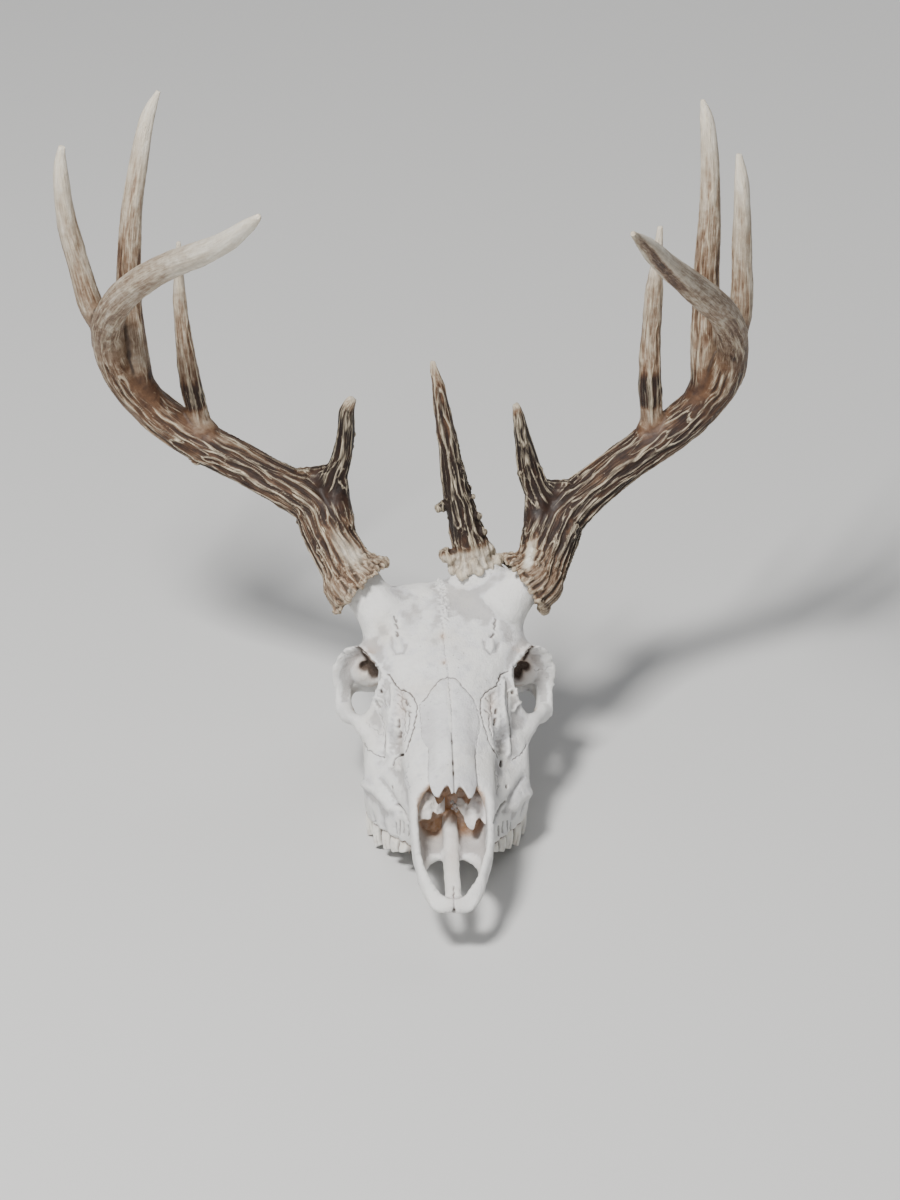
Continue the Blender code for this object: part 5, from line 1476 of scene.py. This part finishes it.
lines = maths(tree, "MAXIMUM", spread(tree, maths(tree, "ABSOLUTE", given["Coarse"]), 0.085, 0.03),
              spread(tree, maths(tree, "ABSOLUTE", given["Fine"]), 0.06, 0.01, 0.0, 0.65))
lines = maths(tree, "MULTIPLY", lines, spread(tree, hair, 0.42, 0.55, 0.0, 1.0))
lines = maths(tree, "MULTIPLY", lines, given["Ridge"])
colour = blend(tree, maths(tree, "MULTIPLY", lines, 0.95), colour, given["Cream"])
# Painted shade: the dark parts of the antler go near-black in their hollows.
dark = maths(tree, "MULTIPLY", spread(tree, given["Cavity"], 0.54, 0.85, 0.0, 0.8),
             spread(tree, given["Pale"], 0.95, 0.5))
colour = blend(tree, dark, colour, (0.022, 0.012, 0.008, 1.0))
edge = maths(tree, "MULTIPLY", spread(tree, given["Cavity"], 0.34, 0.04, 0.0, 0.6),
             spread(tree, hair, 0.42, 0.58, 0.25, 1.0))
colour = blend(tree, edge, colour, given["Cream"])
height = maths(tree, "ADD", hair, maths(tree, "MULTIPLY", grit, 0.35))
height = maths(tree, "ADD", height, maths(tree, "MULTIPLY", lines, 0.6))
height = maths(tree, "ADD", maths(tree, "MULTIPLY", height, given["Calm"]), mottle)
dull = spread(tree, grit, 0.3, 0.7, 0.42, 0.62)
for label, value in (("Color", colour), ("Roughness", dull), ("Height", height)):
    tree.links.new(value, put[label])
print("node groups ready")

# %% Materials
MASKS = {"Place": "object", "Groove": "groove_and_shade", "Stain": "stain_and_shade", "Cavity": "cavity"}
# The skull's stain colour serves its real stains and the painted shade in the nose and the eye sockets.
bleached = new_material("bleached_bone_skull", bone_group, {
    **MASKS, "Light": (0.82, 0.82, 0.81, 1), "Warm": (0.66, 0.65, 0.665, 1),
    "Stain Color": (0.52, 0.25, 0.08, 1)}, 0.0007)
enamel = new_material("cheek_tooth_enamel", bone_group, {
    **MASKS, "Light": (0.86, 0.84, 0.77, 1), "Warm": (0.76, 0.70, 0.58, 1),
    "Stain Color": (0.30, 0.15, 0.09, 1)}, 0.0003)
antler_skin = new_material("streaked_antler", antler_group, {
    "Flow": "flow", "Coarse": "coarse", "Fine": "fine", "Ridge": "ridge", "Calm": "calm", "Pale": "pale",
    "Cavity": "cavity", "Place": "object", "Cream": (0.70, 0.60, 0.44, 1)}, 0.0007)

# %% [markdown]
# ## Putting the pieces in place
# The skull's frame is turned into the imported model's. The transform goes into each mesh, so that
# every object sits at the origin, each piece hangs from the root, and the solids it stands for are hidden.

# %% Pieces
BEAM_NODES = ("beam_base", "beam_lower", "beam_middle", "beam_upper", "beam_end", "brow_tine", "second_tine",
              "third_tine", "fourth_tine")


def put_in_place(made, material, nodes):
    mesh = made.data
    mesh.transform(REST)
    spots = places(mesh)
    spots[:, 2] = np.maximum(spots[:, 2], 0.0)
    move_to(mesh, spots)
    mesh.materials.clear()
    mesh.materials.append(material)
    mesh.polygons.foreach_set("use_smooth", np.ones(len(mesh.polygons), bool))
    mesh.name = made.name
    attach(made, "root")
    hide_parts(*nodes)
    triangles = sum(len(p.vertices) - 2 for p in mesh.polygons)
    print(f"{made.name}: {triangles} triangles")


put_in_place(skull, bleached, ["cranium"])
for made in (*nasals.values(), scrolls):
    put_in_place(made, bleached, ["cranium"])
for made in teeth.values():
    put_in_place(made, enamel, ["cranium"])
for side in ("right", "left"):
    put_in_place(antlers[side], antler_skin, [f"antler_{side}_{part}" for part in BEAM_NODES])
put_in_place(antlers["middle"], antler_skin, ["extra_beam"])

# %% [markdown]
# ## Floor and light
# A pale floor and three soft lamps, as in a museum's photo studio. The key light comes from
# the upper left, so that ridges and sutures throw short soft shadows.

# %% Studio
LAMPS_AIM_AT = Vector((0, 0, 0.15))


def pale_floor():
    bm = bmesh.new()
    bmesh.ops.create_grid(bm, x_segments=1, y_segments=1, size=6.0)
    made = new_object("studio_floor", to_mesh(bm))
    finish = bpy.data.materials.new("pale_floor")
    finish.use_nodes = True
    shader = finish.node_tree.nodes["Principled BSDF"]
    shader.inputs["Base Color"].default_value = (0.62, 0.62, 0.61, 1)
    shader.inputs["Roughness"].default_value = 0.85
    made.data.materials.append(finish)


def lamp(name, place, size, power, colour=(1, 1, 1)):
    data = bpy.data.lights.new(name, "AREA")
    data.shape, data.size, data.energy, data.color = "SQUARE", size, power, colour
    aim = (Vector(place) - LAMPS_AIM_AT).to_track_quat("Z", "Y")
    new_object(name, data).matrix_world = Matrix.Translation(place) @ aim.to_matrix().to_4x4()


pale_floor()
lamp("key", (-0.7, -1.05, 2.15), 0.45, 90, (1.0, 0.985, 0.965))
lamp("front", (-0.9, -2.6, 1.6), 1.5, 14, (0.95, 0.975, 1.0))
lamp("back", (1.2, 1.4, 1.6), 1.2, 10)
world = bpy.data.worlds.new("studio")
world.use_nodes = True
world.node_tree.nodes["Background"].inputs["Color"].default_value = (0.93, 0.95, 1.0, 1)
world.node_tree.nodes["Background"].inputs["Strength"].default_value = 0.24
bpy.context.scene.world = world
